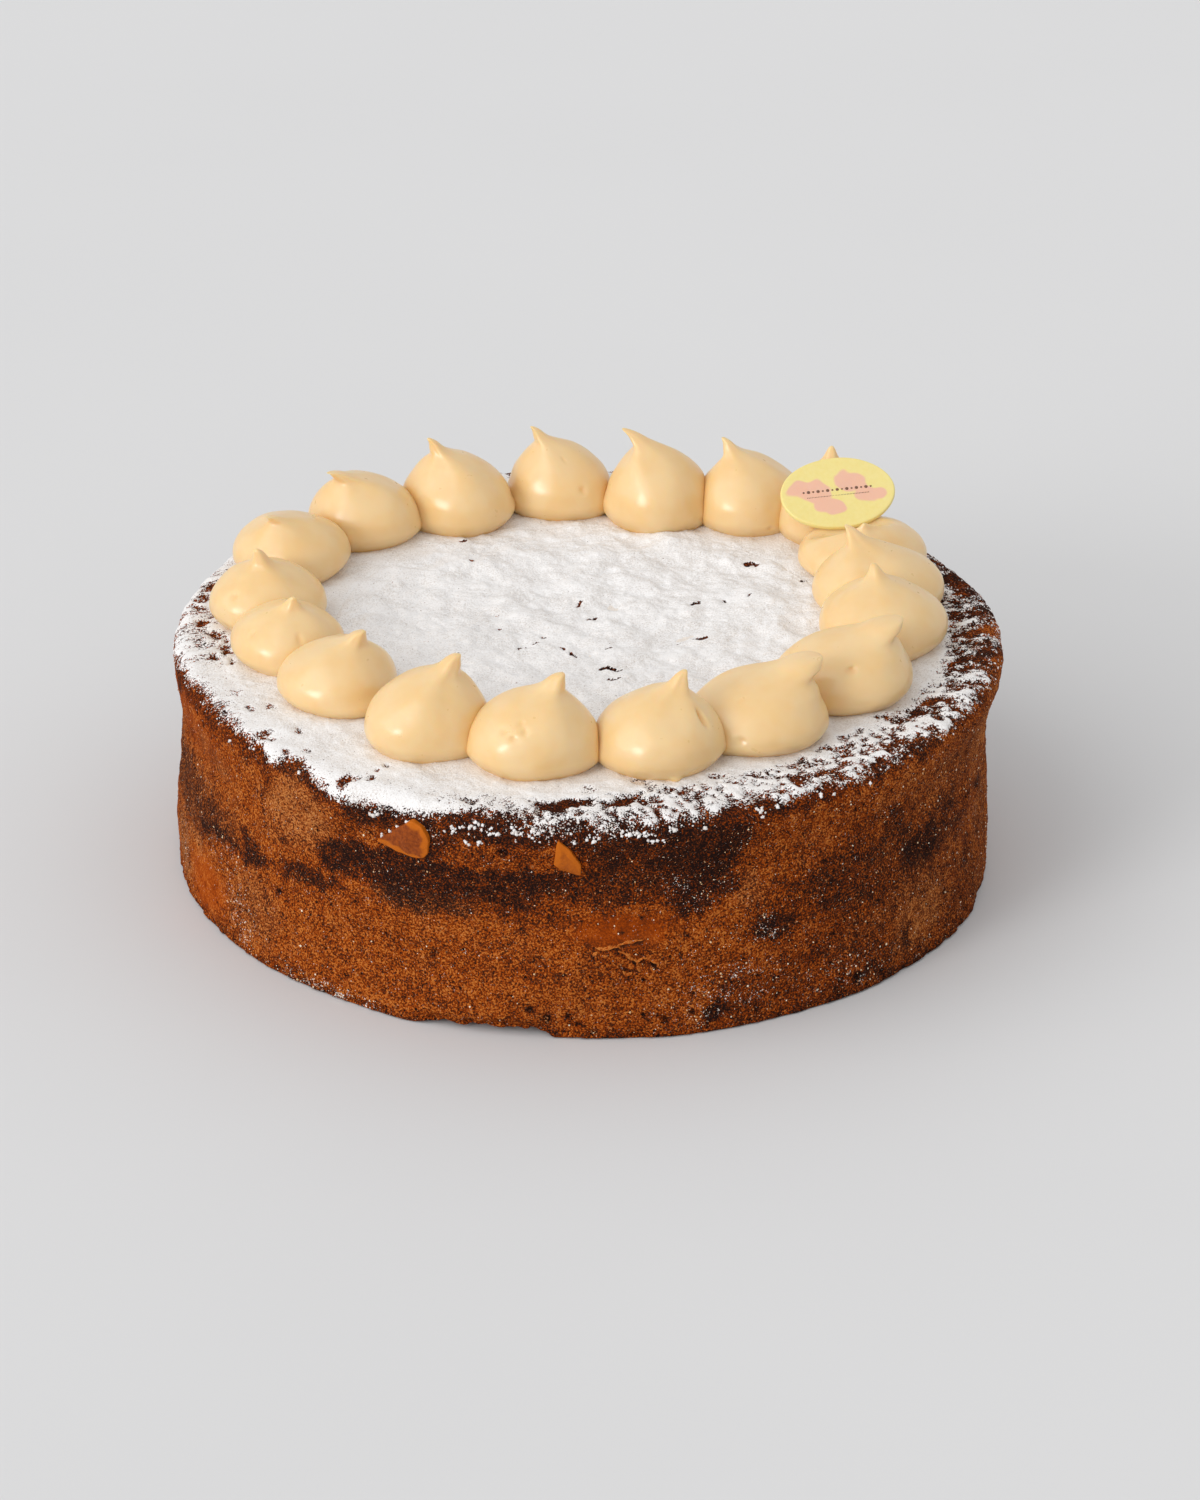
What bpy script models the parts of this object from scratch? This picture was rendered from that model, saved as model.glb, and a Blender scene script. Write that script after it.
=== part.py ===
"""A caprese cake: a round, uncut chocolate and almond cake with a ring of eighteen piped cream
kisses on its top, an oval chocolate plaque leaning on two of them, and two almond pieces baked
into its side.

Metres, +Z up. The origin is the middle of the foot, level with the bottom. The front is towards -Y,
and angles run anticlockwise from +X as seen from above. Sizes below are in millimetres, and MM
turns them into metres when a mesh is made.
"""

from collections import namedtuple
from math import cos, pi, radians, sin

import bmesh
import bpy
import numpy as np
from mathutils import Matrix, Vector

MM = 0.001
CLEARANCE = 0.3  # between two solids that touch

# Cake
FOOT_RADIUS = 120.0
SIDE_TAPER = 0.03  # the wall leans in by this much for each millimetre of height
SEAT_HEIGHT = 69.5  # the flat top under the cream
SEAT_INNER = 66.0
SEAT_OUTER, SEAT_OUTER_RIGHT = 114.0, 104.0
RIM_ROUND = (4.5, 5.0)  # how far in and how far down the top edge is rounded
FOOT_ROUND = (4.0, 2.6)
FOOT_CENTRE_X, RIM_CENTRE_X = -1.0, -0.6
CAKE_STEPS = 84

# Cream kisses
RING_CENTRE = (-0.5, 0.0)
KISS_STEPS = 18
KISS_FOOT = 0.80  # radius of the foot, as a share of the widest radius
KISS_BELLY = 0.22  # height of the widest place, as a share of the height
KISS_FALL = (2.5, 1.95)  # powers that shape the fall from the belly to the tip
KISS_NOSE_LENGTH = 0.35  # length of the drawn-out tip, as a share of the height
KISS_DRAW = 4.5  # power of the height with which the body follows its tip

# Plaque
PLAQUE_LENGTH, PLAQUE_WIDTH, PLAQUE_THICKNESS = 34.4, 25.0, 1.8
PLAQUE_EDGE = 0.5
PLAQUE_CENTRE = (74.0, 62.7, 87.8)
PLAQUE_TILT, PLAQUE_TURN = 33.0, 8.0  # degrees, back from level and in its own plane
PLAQUE_REST = (6, 7)  # the kisses it lies on, as places in KISSES

Kiss = namedtuple("Kiss", "angle ring radius height lean hook nose")
# angle and ring place it, lean is how far its tip is drawn in X and Y, and hook is the last bend
# of the tip, in X, Y and Z. nose is the radius at the root of the tip, as a share of the radius.
KISSES = (
    Kiss(153.5, 98.5, 17.2, 22.0, (-6.0, -8.0), (-1.5, -1.0, -1.5), 0.25),
    Kiss(134.5, 96.0, 16.3, 24.5, (-8.5, -6.0), (-2.0, -0.5, -1.5), 0.32),
    Kiss(116.5, 88.5, 16.4, 27.0, (-8.5, 0.0), (-0.4, 0.0, 0.0), 0.25),
    Kiss(95.5, 92.0, 15.6, 26.0, (-8.3, -0.5), (-0.4, 0.0, 0.0), 0.25),
    Kiss(75.4, 84.0, 15.6, 29.8, (-8.0, 2.5), (-3.0, 0.0, -0.8), 0.30),
    Kiss(59.4, 95.8, 16.4, 26.0, (-8.2, 2.5), (-0.3, 0.0, 0.0), 0.24),
    Kiss(45.5, 103.0, 15.2, 27.0, (0.7, 4.0), (0.0, 0.0, 0.0), 0.25),
    Kiss(31.0, 96.0, 19.5, 18.5, (-0.5, -5.0), (0.0, -1.0, 0.0), 0.25),
    Kiss(14.5, 89.0, 19.3, 23.5, (-10.0, 6.5), (0.0, 0.0, 0.0), 0.25),
    Kiss(-1.0, 86.5, 19.3, 23.0, (-3.0, 4.8), (0.0, 0.0, 0.0), 0.25),
    Kiss(-25.3, 82.5, 19.8, 21.8, (13.7, 4.0), (1.0, 0.0, -1.0), 0.44),
    Kiss(-52.3, 79.7, 20.0, 21.8, (15.8, 6.5), (1.0, 0.0, -1.0), 0.44),
    Kiss(-75.5, 82.5, 18.4, 26.0, (7.3, 3.0), (0.3, 0.0, 0.3), 0.25),
    Kiss(-100.4, 83.0, 18.5, 26.8, (7.8, 1.0), (1.2, 0.0, -0.6), 0.25),
    Kiss(-122.3, 84.7, 18.0, 27.2, (8.4, 1.5), (1.2, 0.0, -0.6), 0.25),
    Kiss(-149.0, 83.5, 17.4, 22.0, (6.8, -1.5), (1.2, 0.0, -0.8), 0.25),
    Kiss(-168.5, 89.0, 16.5, 21.5, (2.0, -4.0), (0.0, 0.0, 0.0), 0.25),
    Kiss(174.5, 94.5, 17.0, 22.5, (0.0, -3.0), (0.0, 0.0, 0.0), 0.25),
)

Almond = namedtuple("Almond", "angle height long high point turn")
# point is how far the outline is drawn out to one corner, and turn is that corner's direction.
ALMONDS = (
    Almond(-114.7, 57.0, 13.5, 11.0, 0.22, 185.0),
    Almond(-92.8, 55.5, 8.0, 9.0, 0.26, -40.0),
)
ALMOND_DEPTH, ALMOND_PROUD, ALMOND_EDGE = 4.0, 1.0, 0.8


def smooth_step(low, high, x):
    """0 below low, 1 above high, and a cubic between them."""
    t = np.clip((x - low) / (high - low), 0.0, 1.0)
    return t * t * (3.0 - 2.0 * t)


def hump(angle, middle, width):
    """A bell of height 1 round one direction, all in degrees."""
    off = (angle - middle + 180.0) % 360.0 - 180.0
    return np.exp(-((off / width) ** 2))


def waves(seed, count, across, up):
    """Seeded waves that close round the cake: turns round it, turns for each millimetre up, phase,
    and height. Finer waves are lower."""
    draw = np.random.default_rng(seed)
    rows = []
    for _ in range(count):
        around = int(draw.integers(across[0], across[1] + 1))
        rise = draw.uniform(up[0], up[1]) * draw.choice((-1.0, 1.0))
        rows.append((around, rise, draw.uniform(0.0, 2.0 * pi), 1.0 / (1.0 + around / across[0])))
    return rows


def unevenness(rows, angle, height):
    """The sum of the waves, about -1 to 1, at angles in radians and heights in millimetres."""
    total = sum(row[3] for row in rows)
    rise = sum(
        share * np.cos(around * angle + 2.0 * pi * turns * height + phase)
        for around, turns, phase, share in rows
    )
    return rise / total * 2.0


CRUST_WAVES = waves(7, 9, (3, 14), (0.01, 0.04))
TOP_WAVES = waves(12, 8, (2, 7), (0.01, 0.03))
CRUST_RELIEF, TOP_RELIEF = 0.7, 0.9


def side_radius(height):
    return FOOT_RADIUS - SIDE_TAPER * height


def flare(angle, height):
    """How far the top edge stands out past the wall: most on the right, where the batter rose
    over the tin as a lip."""
    lip = 1.6 * hump(angle, -5.0, 55.0) * smooth_step(55.0, 66.0, height)
    return lip + 2.6 * smooth_step(48.0, 65.0, height)


def rim_lift(angle):
    """The top edge is higher on the right and sags a little on the left front."""
    return 2.4 * hump(angle, -22.0, 48.0) - 1.6 * hump(angle, -112.0, 26.0)


def seat_reach(angle):
    """How far out the flat seat goes: less on the right, where the cream sits further in."""
    off = np.abs((angle + 22.0 + 180.0) % 360.0 - 180.0)
    wider = smooth_step(36.0, 50.0, off)
    return SEAT_OUTER_RIGHT + (SEAT_OUTER - SEAT_OUTER_RIGHT) * wider


def foot_chip(angle):
    """A chip of crust missing from the foot at the front left, and a shallow one at the back."""
    front = smooth_step(-114.0, -109.0, angle) * (1.0 - smooth_step(-99.0, -97.0, angle))
    back = smooth_step(68.0, 74.0, angle) * (1.0 - smooth_step(84.0, 90.0, angle))
    return front + 0.6 * back


def turned(profile, steps):
    """The mesh of a profile of (radius, height) pairs in millimetres, from the top of the axis
    down the outside, turned about Z by a Screw modifier."""
    line = bpy.data.meshes.new("profile")
    line.from_pydata(
        [(r * MM, 0.0, z * MM) for r, z in profile],
        [(i, i + 1) for i in range(len(profile) - 1)],
        [],
    )
    guide = bpy.data.objects.new("profile", line)
    bpy.context.scene.collection.objects.link(guide)
    screw = guide.modifiers.new("Turn", "SCREW")
    screw.axis = "Z"
    screw.angle = 2.0 * pi
    screw.steps = screw.render_steps = steps
    screw.use_merge_vertices = True
    screw.merge_threshold = 0.00001
    seen = guide.evaluated_get(bpy.context.evaluated_depsgraph_get())
    mesh = bpy.data.meshes.new_from_object(seen)
    bpy.data.objects.remove(guide)
    bpy.data.meshes.remove(line)
    return mesh


def read_points(mesh):
    """The mesh's points as an array in millimetres."""
    flat = np.empty(len(mesh.vertices) * 3)
    mesh.vertices.foreach_get("co", flat)
    return flat.reshape(-1, 3) / MM


def write_points(mesh, points):
    mesh.vertices.foreach_set("co", (points * MM).ravel())
    mesh.update()


def arc(centre, reach, start, end, count):
    """Points on a quarter of an ellipse, as (radius, height) pairs, angles in degrees."""
    turns = [radians(start + (end - start) * i / (count - 1)) for i in range(count)]
    return [(centre[0] + reach[0] * cos(a), centre[1] + reach[1] * sin(a)) for a in turns]


def cake_profile():
    """From the middle of the top out to the rounded rim, down the wall, and in under the foot."""
    rim_in, rim_down = RIM_ROUND
    foot_in, foot_up = FOOT_ROUND
    rim_centre = (side_radius(SEAT_HEIGHT) - rim_in, SEAT_HEIGHT - rim_down)
    foot_centre = (side_radius(0.0) - foot_in, foot_up)
    top = [(r, SEAT_HEIGHT) for r in (0.0, 13.0, 26.0, 39.0, 52.0, 61.0, 70.0, 88.0, 104.0)]
    wall = [(side_radius(z), z) for z in (52.0, 44.0, 36.0, 28.0, 20.0, 12.0, 6.5)]
    rim = arc(rim_centre, RIM_ROUND, 90.0, 0.0, 5)
    foot = arc(foot_centre, FOOT_ROUND, 0.0, -90.0, 4)
    return [*top, *rim, *wall, *foot, (106.0, 0.0), (0.0, 0.0)]


def shape_cake(points):
    """Moves the turned body's points: the wall and rim out or in by the flare, the crags and the
    shift of the middle, the top up or down by its lumps and the lift of the rim, and the foot up
    where the crust is chipped. The seat under the cream stays flat."""
    x, y, z = points.T
    angle = np.arctan2(y, x)
    degrees = np.degrees(angle)
    radius = np.hypot(x, y)
    outer = smooth_step(SEAT_OUTER - 6.0, SEAT_OUTER + 4.0, radius)
    upper = smooth_step(40.0, SEAT_HEIGHT, z)
    shift = FOOT_CENTRE_X + (RIM_CENTRE_X - FOOT_CENTRE_X) * upper
    crags = CRUST_RELIEF * unevenness(CRUST_WAVES, angle, z)
    low = (1.0 - smooth_step(0.5, 6.0, z)) * smooth_step(108.0, 117.0, radius)
    chip = foot_chip(degrees) * low
    moved = radius + outer * (flare(degrees, z) + crags) - 2.0 * chip
    inner = 1.0 - smooth_step(SEAT_INNER - 10.0, SEAT_INNER, radius)
    reach = seat_reach(degrees)
    edge = smooth_step(reach, reach + 10.0, radius) * smooth_step(46.0, 62.0, z)
    lumps = TOP_RELIEF * unevenness(TOP_WAVES, angle, radius) * smooth_step(0.0, 30.0, radius)
    top = inner * lumps * (z > 0.5 * SEAT_HEIGHT)
    lifted = z + top + edge * (rim_lift(degrees) + 0.4 * lumps) + 2.2 * chip
    return np.stack(
        [moved * np.cos(angle) + shift * outer, moved * np.sin(angle), lifted], axis=1
    )


def kiss_radius(t, nose):
    """The radius of a kiss at height share t, as a share of its widest radius: it swells from the
    foot to the belly and falls in a long soft curve, blended with the nose of the tip."""
    belly = KISS_FOOT + (1.0 - KISS_FOOT) * np.sin(0.5 * pi * np.clip(t / KISS_BELLY, 0.0, 1.0))
    fall = np.clip((t - KISS_BELLY) / (1.0 - KISS_BELLY), 0.0, 1.0)
    body = np.where(t < KISS_BELLY, belly, (1.0 - fall ** KISS_FALL[0]) ** KISS_FALL[1])
    tip = nose * np.clip((1.0 - t) / KISS_NOSE_LENGTH, 0.0, 1.0) ** 0.6
    return np.hypot(body, tip * smooth_step(0.3, 0.7, t))


def kiss_place(kiss):
    """The middle of a kiss's foot in X and Y."""
    turn = radians(kiss.angle)
    return np.array(
        [RING_CENTRE[0] + kiss.ring * cos(turn), RING_CENTRE[1] + kiss.ring * sin(turn)]
    )


def keep_behind(points, on_plane, normal, softness):
    """Presses points back along the normal, so that none passes the plane: a point well behind it
    stays, and one past it ends just short of it."""
    past = (points - on_plane) @ normal
    back = softness * np.logaddexp(0.0, past / softness)
    return points - back[:, None] * normal


def plaque_place():
    """The plaque's own axes and middle in the cake's frame: long, across, and out of its face."""
    turn = Matrix.Rotation(radians(PLAQUE_TURN), 4, "Z")
    tilt = Matrix.Rotation(radians(PLAQUE_TILT), 4, "X")
    return Matrix.Translation(Vector(PLAQUE_CENTRE) * MM) @ tilt @ turn


def press_under_plaque(points):
    """Presses cream down to the plaque's underside, fully below the plaque and less and less out
    to half as far again from its middle."""
    place = np.array(plaque_place())
    middle, normal = place[:3, 3] / MM, place[:3, 2]
    along, across = ((points - middle) @ place[:3, :2]).T
    ratio = np.hypot(along / (0.5 * PLAQUE_LENGTH), across / (0.5 * PLAQUE_WIDTH))
    under = middle - normal * (0.5 * PLAQUE_THICKNESS + CLEARANCE)
    share = 1.0 - smooth_step(1.1, 1.5, ratio)
    return points + share[:, None] * (keep_behind(points, under, normal, 0.5) - points)


def shape_kiss(points, number):
    """Draws the round body over to its tip, makes it a little uneven, and presses it flat where
    it meets its neighbours and the plaque."""
    kiss = KISSES[number]
    draw = np.random.default_rng(100 + number)
    x, y, z = points.T
    t = z / kiss.height
    angle = np.arctan2(y, x)
    swell = 1.0 + sum(
        0.022 * np.cos(turns * angle + draw.uniform(0.0, 2.0 * pi)) for turns in (2, 3)
    )
    drawn = t**KISS_DRAW
    bend = np.clip((t - 0.78) / 0.22, 0.0, 1.0) ** 2
    moved = np.stack(
        [
            x * swell + kiss.lean[0] * drawn + kiss.hook[0] * bend,
            y * swell + kiss.lean[1] * drawn + kiss.hook[1] * bend,
            z + kiss.hook[2] * bend,
        ],
        axis=1,
    )
    place = kiss_place(kiss)
    moved[:, :2] += place
    moved[:, 2] += SEAT_HEIGHT + CLEARANCE
    for step in (-1, 1):
        other = KISSES[(number + step) % len(KISSES)]
        away = kiss_place(other) - place
        gap = np.linalg.norm(away)
        normal = np.array([*(away / gap), 0.0])
        share = gap * kiss.radius / (kiss.radius + other.radius) - 0.5 * CLEARANCE
        middle = np.array([*place, 0.0]) + normal * share
        moved = keep_behind(moved, middle, normal, 0.7)
    return press_under_plaque(moved) if number in PLAQUE_REST else moved


def named_object(name, mesh, material, group):
    mesh.name = name
    mesh.materials.clear()
    mesh.materials.append(material)
    mesh.shade_smooth()
    mesh.set_sharp_from_angle(angle=radians(50.0))
    piece = bpy.data.objects.new(name, mesh)
    group.objects.link(piece)
    return piece


def finish(name, colour, roughness):
    material = bpy.data.materials.new(name)
    material.use_nodes = True
    shader = material.node_tree.nodes["Principled BSDF"]
    shader.inputs["Base Color"].default_value = (*colour, 1.0)
    shader.inputs["Roughness"].default_value = roughness
    shader.inputs["Metallic"].default_value = 0.0
    return material


def disc(long, high, thick, steps):
    """A flat round solid in the X-Y plane, from a primitive, its middle at the origin."""
    mesh = bpy.data.meshes.new("disc")
    shape = bmesh.new()
    bmesh.ops.create_cone(
        shape,
        cap_ends=True,
        segments=steps,
        radius1=0.5 * MM,
        radius2=0.5 * MM,
        depth=thick * MM,
    )
    bmesh.ops.scale(shape, vec=Vector((long, high, 1.0)), verts=shape.verts)
    shape.to_mesh(mesh)
    shape.free()
    return mesh


def almond_outline(points, almond):
    """Draws the disc's outline out to a rounded corner: the radius grows with the cosine of three
    times the angle from the corner, which gives three blunt corners, one of them the longest."""
    x, y, _ = points.T
    off = np.arctan2(y, x) - radians(almond.turn)
    grow = 1.0 + almond.point * (0.6 * np.cos(3.0 * off) + 0.6 * np.cos(off))
    return points * np.stack([grow, grow, np.ones_like(grow)], axis=1)


def almond_frame(almond):
    """Axes of an almond piece: along the wall, up, and straight out of the wall."""
    turn = radians(almond.angle)
    out = Vector((cos(turn), sin(turn), 0.0))
    along = Vector((-sin(turn), cos(turn), 0.0))
    up = Vector((0.0, 0.0, 1.0))
    frame = Matrix((along, up, out)).transposed().to_4x4()
    wall = side_radius(almond.height) + float(flare(almond.angle, almond.height))
    wall += CRUST_RELIEF * float(unevenness(CRUST_WAVES, turn, almond.height))
    middle = wall + ALMOND_PROUD - 0.5 * ALMOND_DEPTH
    frame.translation = (out * middle + up * almond.height) * MM
    return frame


def cutter_object(name, mesh, place, cutters):
    """A shape that only cuts others, drawn as wires and never rendered."""
    mesh.name = name
    cutter = bpy.data.objects.new(name, mesh)
    cutters.objects.link(cutter)
    cutter.matrix_world = place
    cutter.hide_render = True
    cutter.display_type = "WIRE"
    return cutter


def cut_away(piece, cutter):
    cut = piece.modifiers.new(cutter.name, "BOOLEAN")
    cut.operation = "DIFFERENCE"
    cut.solver = "EXACT"
    cut.object = cutter


def add_bevel(piece, width, segments):
    bevel = piece.modifiers.new("Edge", "BEVEL")
    bevel.width = width * MM
    bevel.segments = segments
    bevel.limit_method = "ANGLE"


def add_almond(name, almond, material, group, cutters):
    """The piece in its pocket, and the pocket's cutter, which is wider by the clearance and opens
    outwards."""
    mesh = disc(almond.long, almond.high, ALMOND_DEPTH, 14)
    write_points(mesh, almond_outline(read_points(mesh), almond))
    piece = named_object(name, mesh, material, group)
    piece.matrix_world = almond_frame(almond)
    add_bevel(piece, ALMOND_EDGE, 2)
    wider = 2.0 * CLEARANCE + 0.1
    open_out = 8.0
    hollow = disc(almond.long + wider, almond.high + wider, ALMOND_DEPTH + open_out, 14)
    shaped = almond_outline(read_points(hollow), almond)
    shaped[:, 2] += 0.5 * open_out - CLEARANCE
    write_points(hollow, shaped)
    return cutter_object(name + "_pocket", hollow, piece.matrix_world, cutters)


def add_cake(material, group, pockets):
    mesh = turned(cake_profile(), CAKE_STEPS)
    write_points(mesh, shape_cake(read_points(mesh)))
    cake = named_object("cake", mesh, material, group)
    for pocket in pockets:
        cut_away(cake, pocket)


def add_kiss(number, material, group, hollow):
    kiss = KISSES[number]
    heights = np.array([1.0, 0.95, 0.90, 0.85, 0.79, 0.72, 0.64, 0.54, 0.42, 0.28, 0.13, 0.0])
    radii = kiss.radius * kiss_radius(heights, kiss.nose)
    profile = list(zip(radii.tolist(), (kiss.height * heights).tolist()))
    mesh = turned([*profile, (0.0, 0.0)], KISS_STEPS)
    write_points(mesh, shape_kiss(read_points(mesh), number))
    piece = named_object(f"kiss_{number + 1:02d}", mesh, material, group)
    if number in PLAQUE_REST:
        cut_away(piece, hollow)


def add_plaque(material, group, cutters):
    """The plaque, and a cutter for the space it takes up and all that is in front of its face."""
    mesh = disc(PLAQUE_LENGTH, PLAQUE_WIDTH, PLAQUE_THICKNESS, 36)
    plaque = named_object("plaque", mesh, material, group)
    plaque.matrix_world = plaque_place()
    add_bevel(plaque, PLAQUE_EDGE, 2)
    in_front = 20.0
    wider = 2.0 * CLEARANCE
    hollow = disc(PLAQUE_LENGTH + wider, PLAQUE_WIDTH + wider, PLAQUE_THICKNESS + in_front, 36)
    shaped = read_points(hollow)
    shaped[:, 2] += 0.5 * in_front - CLEARANCE
    write_points(hollow, shaped)
    return cutter_object("plaque_hollow", hollow, plaque.matrix_world, cutters)


def main():
    for old in list(bpy.data.objects):
        bpy.data.objects.remove(old, do_unlink=True)
    group = bpy.data.collections.new("caprese_cake")
    cutters = bpy.data.collections.new("cutters")
    bpy.context.scene.collection.children.link(group)
    bpy.context.scene.collection.children.link(cutters)
    crumb = finish("crumb", (0.28, 0.10, 0.03), 0.75)
    cream = finish("cream", (0.86, 0.60, 0.30), 0.35)
    chocolate = finish("white_chocolate", (0.90, 0.76, 0.42), 0.30)
    nut = finish("almond", (0.50, 0.18, 0.06), 0.45)
    pockets = [
        add_almond(f"almond_{i + 1}", almond, nut, group, cutters)
        for i, almond in enumerate(ALMONDS)
    ]
    add_cake(crumb, group, pockets)
    hollow = add_plaque(chocolate, group, cutters)
    for number in range(len(KISSES)):
        add_kiss(number, cream, group, hollow)


main()
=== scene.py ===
"""The looks of a caprese cake: a rough chocolate crust, a layer of icing sugar, eighteen piped cream
kisses, an oval chocolate plaque and two almond pieces, on a plain pale floor.

Sizes are in millimetres, +Z up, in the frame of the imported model, and MM turns them into metres
when a mesh is made. Angles run anticlockwise from +X as seen from above, and the front is -Y. The
forms are those of the solids, worked out on finer grids.
"""

from collections import namedtuple
from itertools import product
from math import cos, pi, radians, sin

import bpy
import numpy as np
from mathutils import Matrix, Vector


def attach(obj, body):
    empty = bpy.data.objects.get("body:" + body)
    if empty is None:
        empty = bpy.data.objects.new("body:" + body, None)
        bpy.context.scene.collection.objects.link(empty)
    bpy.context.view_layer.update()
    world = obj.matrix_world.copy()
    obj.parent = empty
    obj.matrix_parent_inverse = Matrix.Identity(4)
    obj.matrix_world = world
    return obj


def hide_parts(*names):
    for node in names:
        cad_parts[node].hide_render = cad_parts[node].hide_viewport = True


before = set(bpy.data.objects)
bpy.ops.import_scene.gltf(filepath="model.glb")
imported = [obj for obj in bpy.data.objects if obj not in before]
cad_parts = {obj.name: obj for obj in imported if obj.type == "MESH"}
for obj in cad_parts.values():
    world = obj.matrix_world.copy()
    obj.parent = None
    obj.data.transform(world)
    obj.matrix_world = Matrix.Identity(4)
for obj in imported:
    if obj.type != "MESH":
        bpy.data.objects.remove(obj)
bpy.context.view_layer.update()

MM = 0.001
CLEARANCE = 0.3  # that the solids keep between two pieces
BODY = "root"

# ---------------------------------------------------------------- sizes of the solids
FOOT_RADIUS = 120.0
SIDE_TAPER = 0.03  # millimetres of radius for each millimetre up
SEAT_HEIGHT = 69.5  # of the level top that the kisses stand on
SEAT_INNER = 66.0
SEAT_OUTER, SEAT_OUTER_RIGHT = 114.0, 104.0
RIM_ROUND = (4.5, 5.0)  # out and down
FOOT_CENTRE_X, RIM_CENTRE_X = -1.0, -0.6  # the rim isn't quite above the foot
RING_CENTRE = (-0.5, 0.0)
KISS_FOOT = 0.80  # of the widest radius
KISS_BELLY = 0.22  # the share of the height where a kiss is widest
KISS_FALL = (2.5, 1.95)  # powers of the curve from there up
KISS_NOSE_LENGTH = 0.35  # of the tip, as a share of the height
KISS_DRAW = 4.5  # power by which the lean grows with height
SHOULDER_DRAW = (0.16, 0.87, 0.08)  # a bell of more lean: its share, its height share and width
PLAQUE_LENGTH, PLAQUE_WIDTH, PLAQUE_THICKNESS = 34.4, 25.0, 1.8
PLAQUE_EDGE = 0.5
PLAQUE_CENTRE = (74.0, 62.7, 87.8)
PLAQUE_TILT, PLAQUE_TURN = 33.0, 8.0  # degrees
PLAQUE_REST = (6, 7)  # the kisses that it lies on, counted from 0
FOOT_SPREAD, OVERLAP = 2.6, 0.5  # of neighbouring kisses, which touch here but not as solids
CHIP_DEPTH, CHIP_RISE = 2.0, 2.2  # how far the chipped foot is cut back and up
ALMOND_DEPTH, ALMOND_PROUD, ALMOND_EDGE = 4.0, 1.0, 0.8

Kiss = namedtuple("Kiss", "angle ring radius height lean hook nose")
# Each kiss's direction and distance from the middle of the ring, its size, how far its top leans
# over, how its tip bends further, and how thick the tip is.
KISSES = (
    Kiss(153.5, 98.5, 17.2, 22.0, (-6.0, -8.0), (-1.5, -1.0, -1.5), 0.25),
    Kiss(134.5, 96.0, 16.3, 24.5, (-8.5, -6.0), (-2.0, -0.5, -1.5), 0.32),
    Kiss(116.5, 88.5, 16.4, 27.0, (-8.5, 0.0), (-0.4, 0.0, 0.0), 0.25),
    Kiss(95.5, 92.0, 15.6, 26.0, (-8.3, -0.5), (-0.4, 0.0, 0.0), 0.25),
    Kiss(75.4, 84.0, 15.6, 29.8, (-8.0, 2.5), (-3.0, 0.0, -0.8), 0.30),
    Kiss(59.4, 95.8, 16.4, 26.0, (-8.2, 2.5), (-0.3, 0.0, 0.0), 0.24),
    Kiss(45.5, 103.0, 15.2, 27.0, (0.7, 4.0), (0.0, 0.0, 0.0), 0.25),
    Kiss(31.0, 96.0, 19.5, 18.5, (-0.5, -5.0), (0.0, -1.0, 0.0), 0.25),
    Kiss(14.5, 89.0, 19.3, 23.5, (-10.0, 6.5), (0.0, 0.0, 0.0), 0.25),
    Kiss(-1.0, 86.5, 19.3, 23.0, (-3.0, 4.8), (0.0, 0.0, 0.0), 0.25),
    Kiss(-25.3, 82.5, 19.8, 21.8, (13.7, 4.0), (0.2, 0.0, 0.0), 0.56),
    Kiss(-52.3, 79.7, 20.0, 21.8, (15.8, 6.5), (-0.2, 0.0, 0.2), 0.58),
    Kiss(-75.5, 82.5, 18.4, 26.0, (7.3, 3.0), (-0.2, 0.0, 0.6), 0.28),
    Kiss(-100.4, 83.0, 18.5, 26.8, (7.8, 1.0), (0.0, 0.0, 0.1), 0.33),
    Kiss(-122.3, 84.7, 18.0, 27.2, (8.4, 1.5), (0.0, 0.0, 0.1), 0.34),
    Kiss(-149.0, 83.5, 17.4, 22.0, (6.8, -1.5), (0.2, 0.0, 0.0), 0.32),
    Kiss(-168.5, 89.0, 16.5, 21.5, (2.0, -4.0), (0.0, 0.0, 0.0), 0.25),
    Kiss(174.5, 94.5, 17.0, 22.5, (-2.4, -3.0), (-0.6, 0.0, 1.2), 0.28),
)

Almond = namedtuple("Almond", "angle height corners cut_sides paleness")
# Two broken pieces: the corners of their outline, anticlockwise from the top, in millimetres along
# the wall and up from their middle, the sides between corners that show the orange of the cut, and
# how orange the whole face is.
ALMONDS = (
    Almond(
        -114.7,
        57.0,
        ((1.6, 7.9), (-9.9, -1.8), (-1.0, -4.7), (4.4, -4.5), (6.4, -2.2), (6.8, 3.4), (5.2, 6.4)),
        (1, 4, 5, 6),
        0.05,
    ),
    Almond(
        -92.8,
        55.5,
        ((-2.1, 9.0), (-3.3, 0.6), (-1.2, -1.5), (4.4, -3.0), (4.5, 0.8), (1.9, 5.4)),
        (0, 4, 5),
        0.60,
    ),
)

# ---------------------------------------------------------------- fineness of the grids
FOOT_ROUND = (1.0, 0.8)  # of the bottom edge, crisper than the solid's
CRUST_COLUMNS = 840
SUGAR_COLUMNS = 1060
SUGAR_CELLS = 306
KISS_ROWS = 92
PIECE_COLUMNS = 144


# ---------------------------------------------------------------- formulas
def smooth_step(low, high, x):
    """0 below low, 1 above high, and a cubic between them."""
    t = np.clip((x - low) / (high - low), 0.0, 1.0)
    return t * t * (3.0 - 2.0 * t)


def turn_between(middle, angle):
    """Degrees from one direction to another, the short way round."""
    return (angle - middle + 180.0) % 360.0 - 180.0


def hump(angle, middle, width):
    """A bell of height 1 round one direction, all in degrees."""
    return np.exp(-((turn_between(middle, angle) / width) ** 2))


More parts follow.
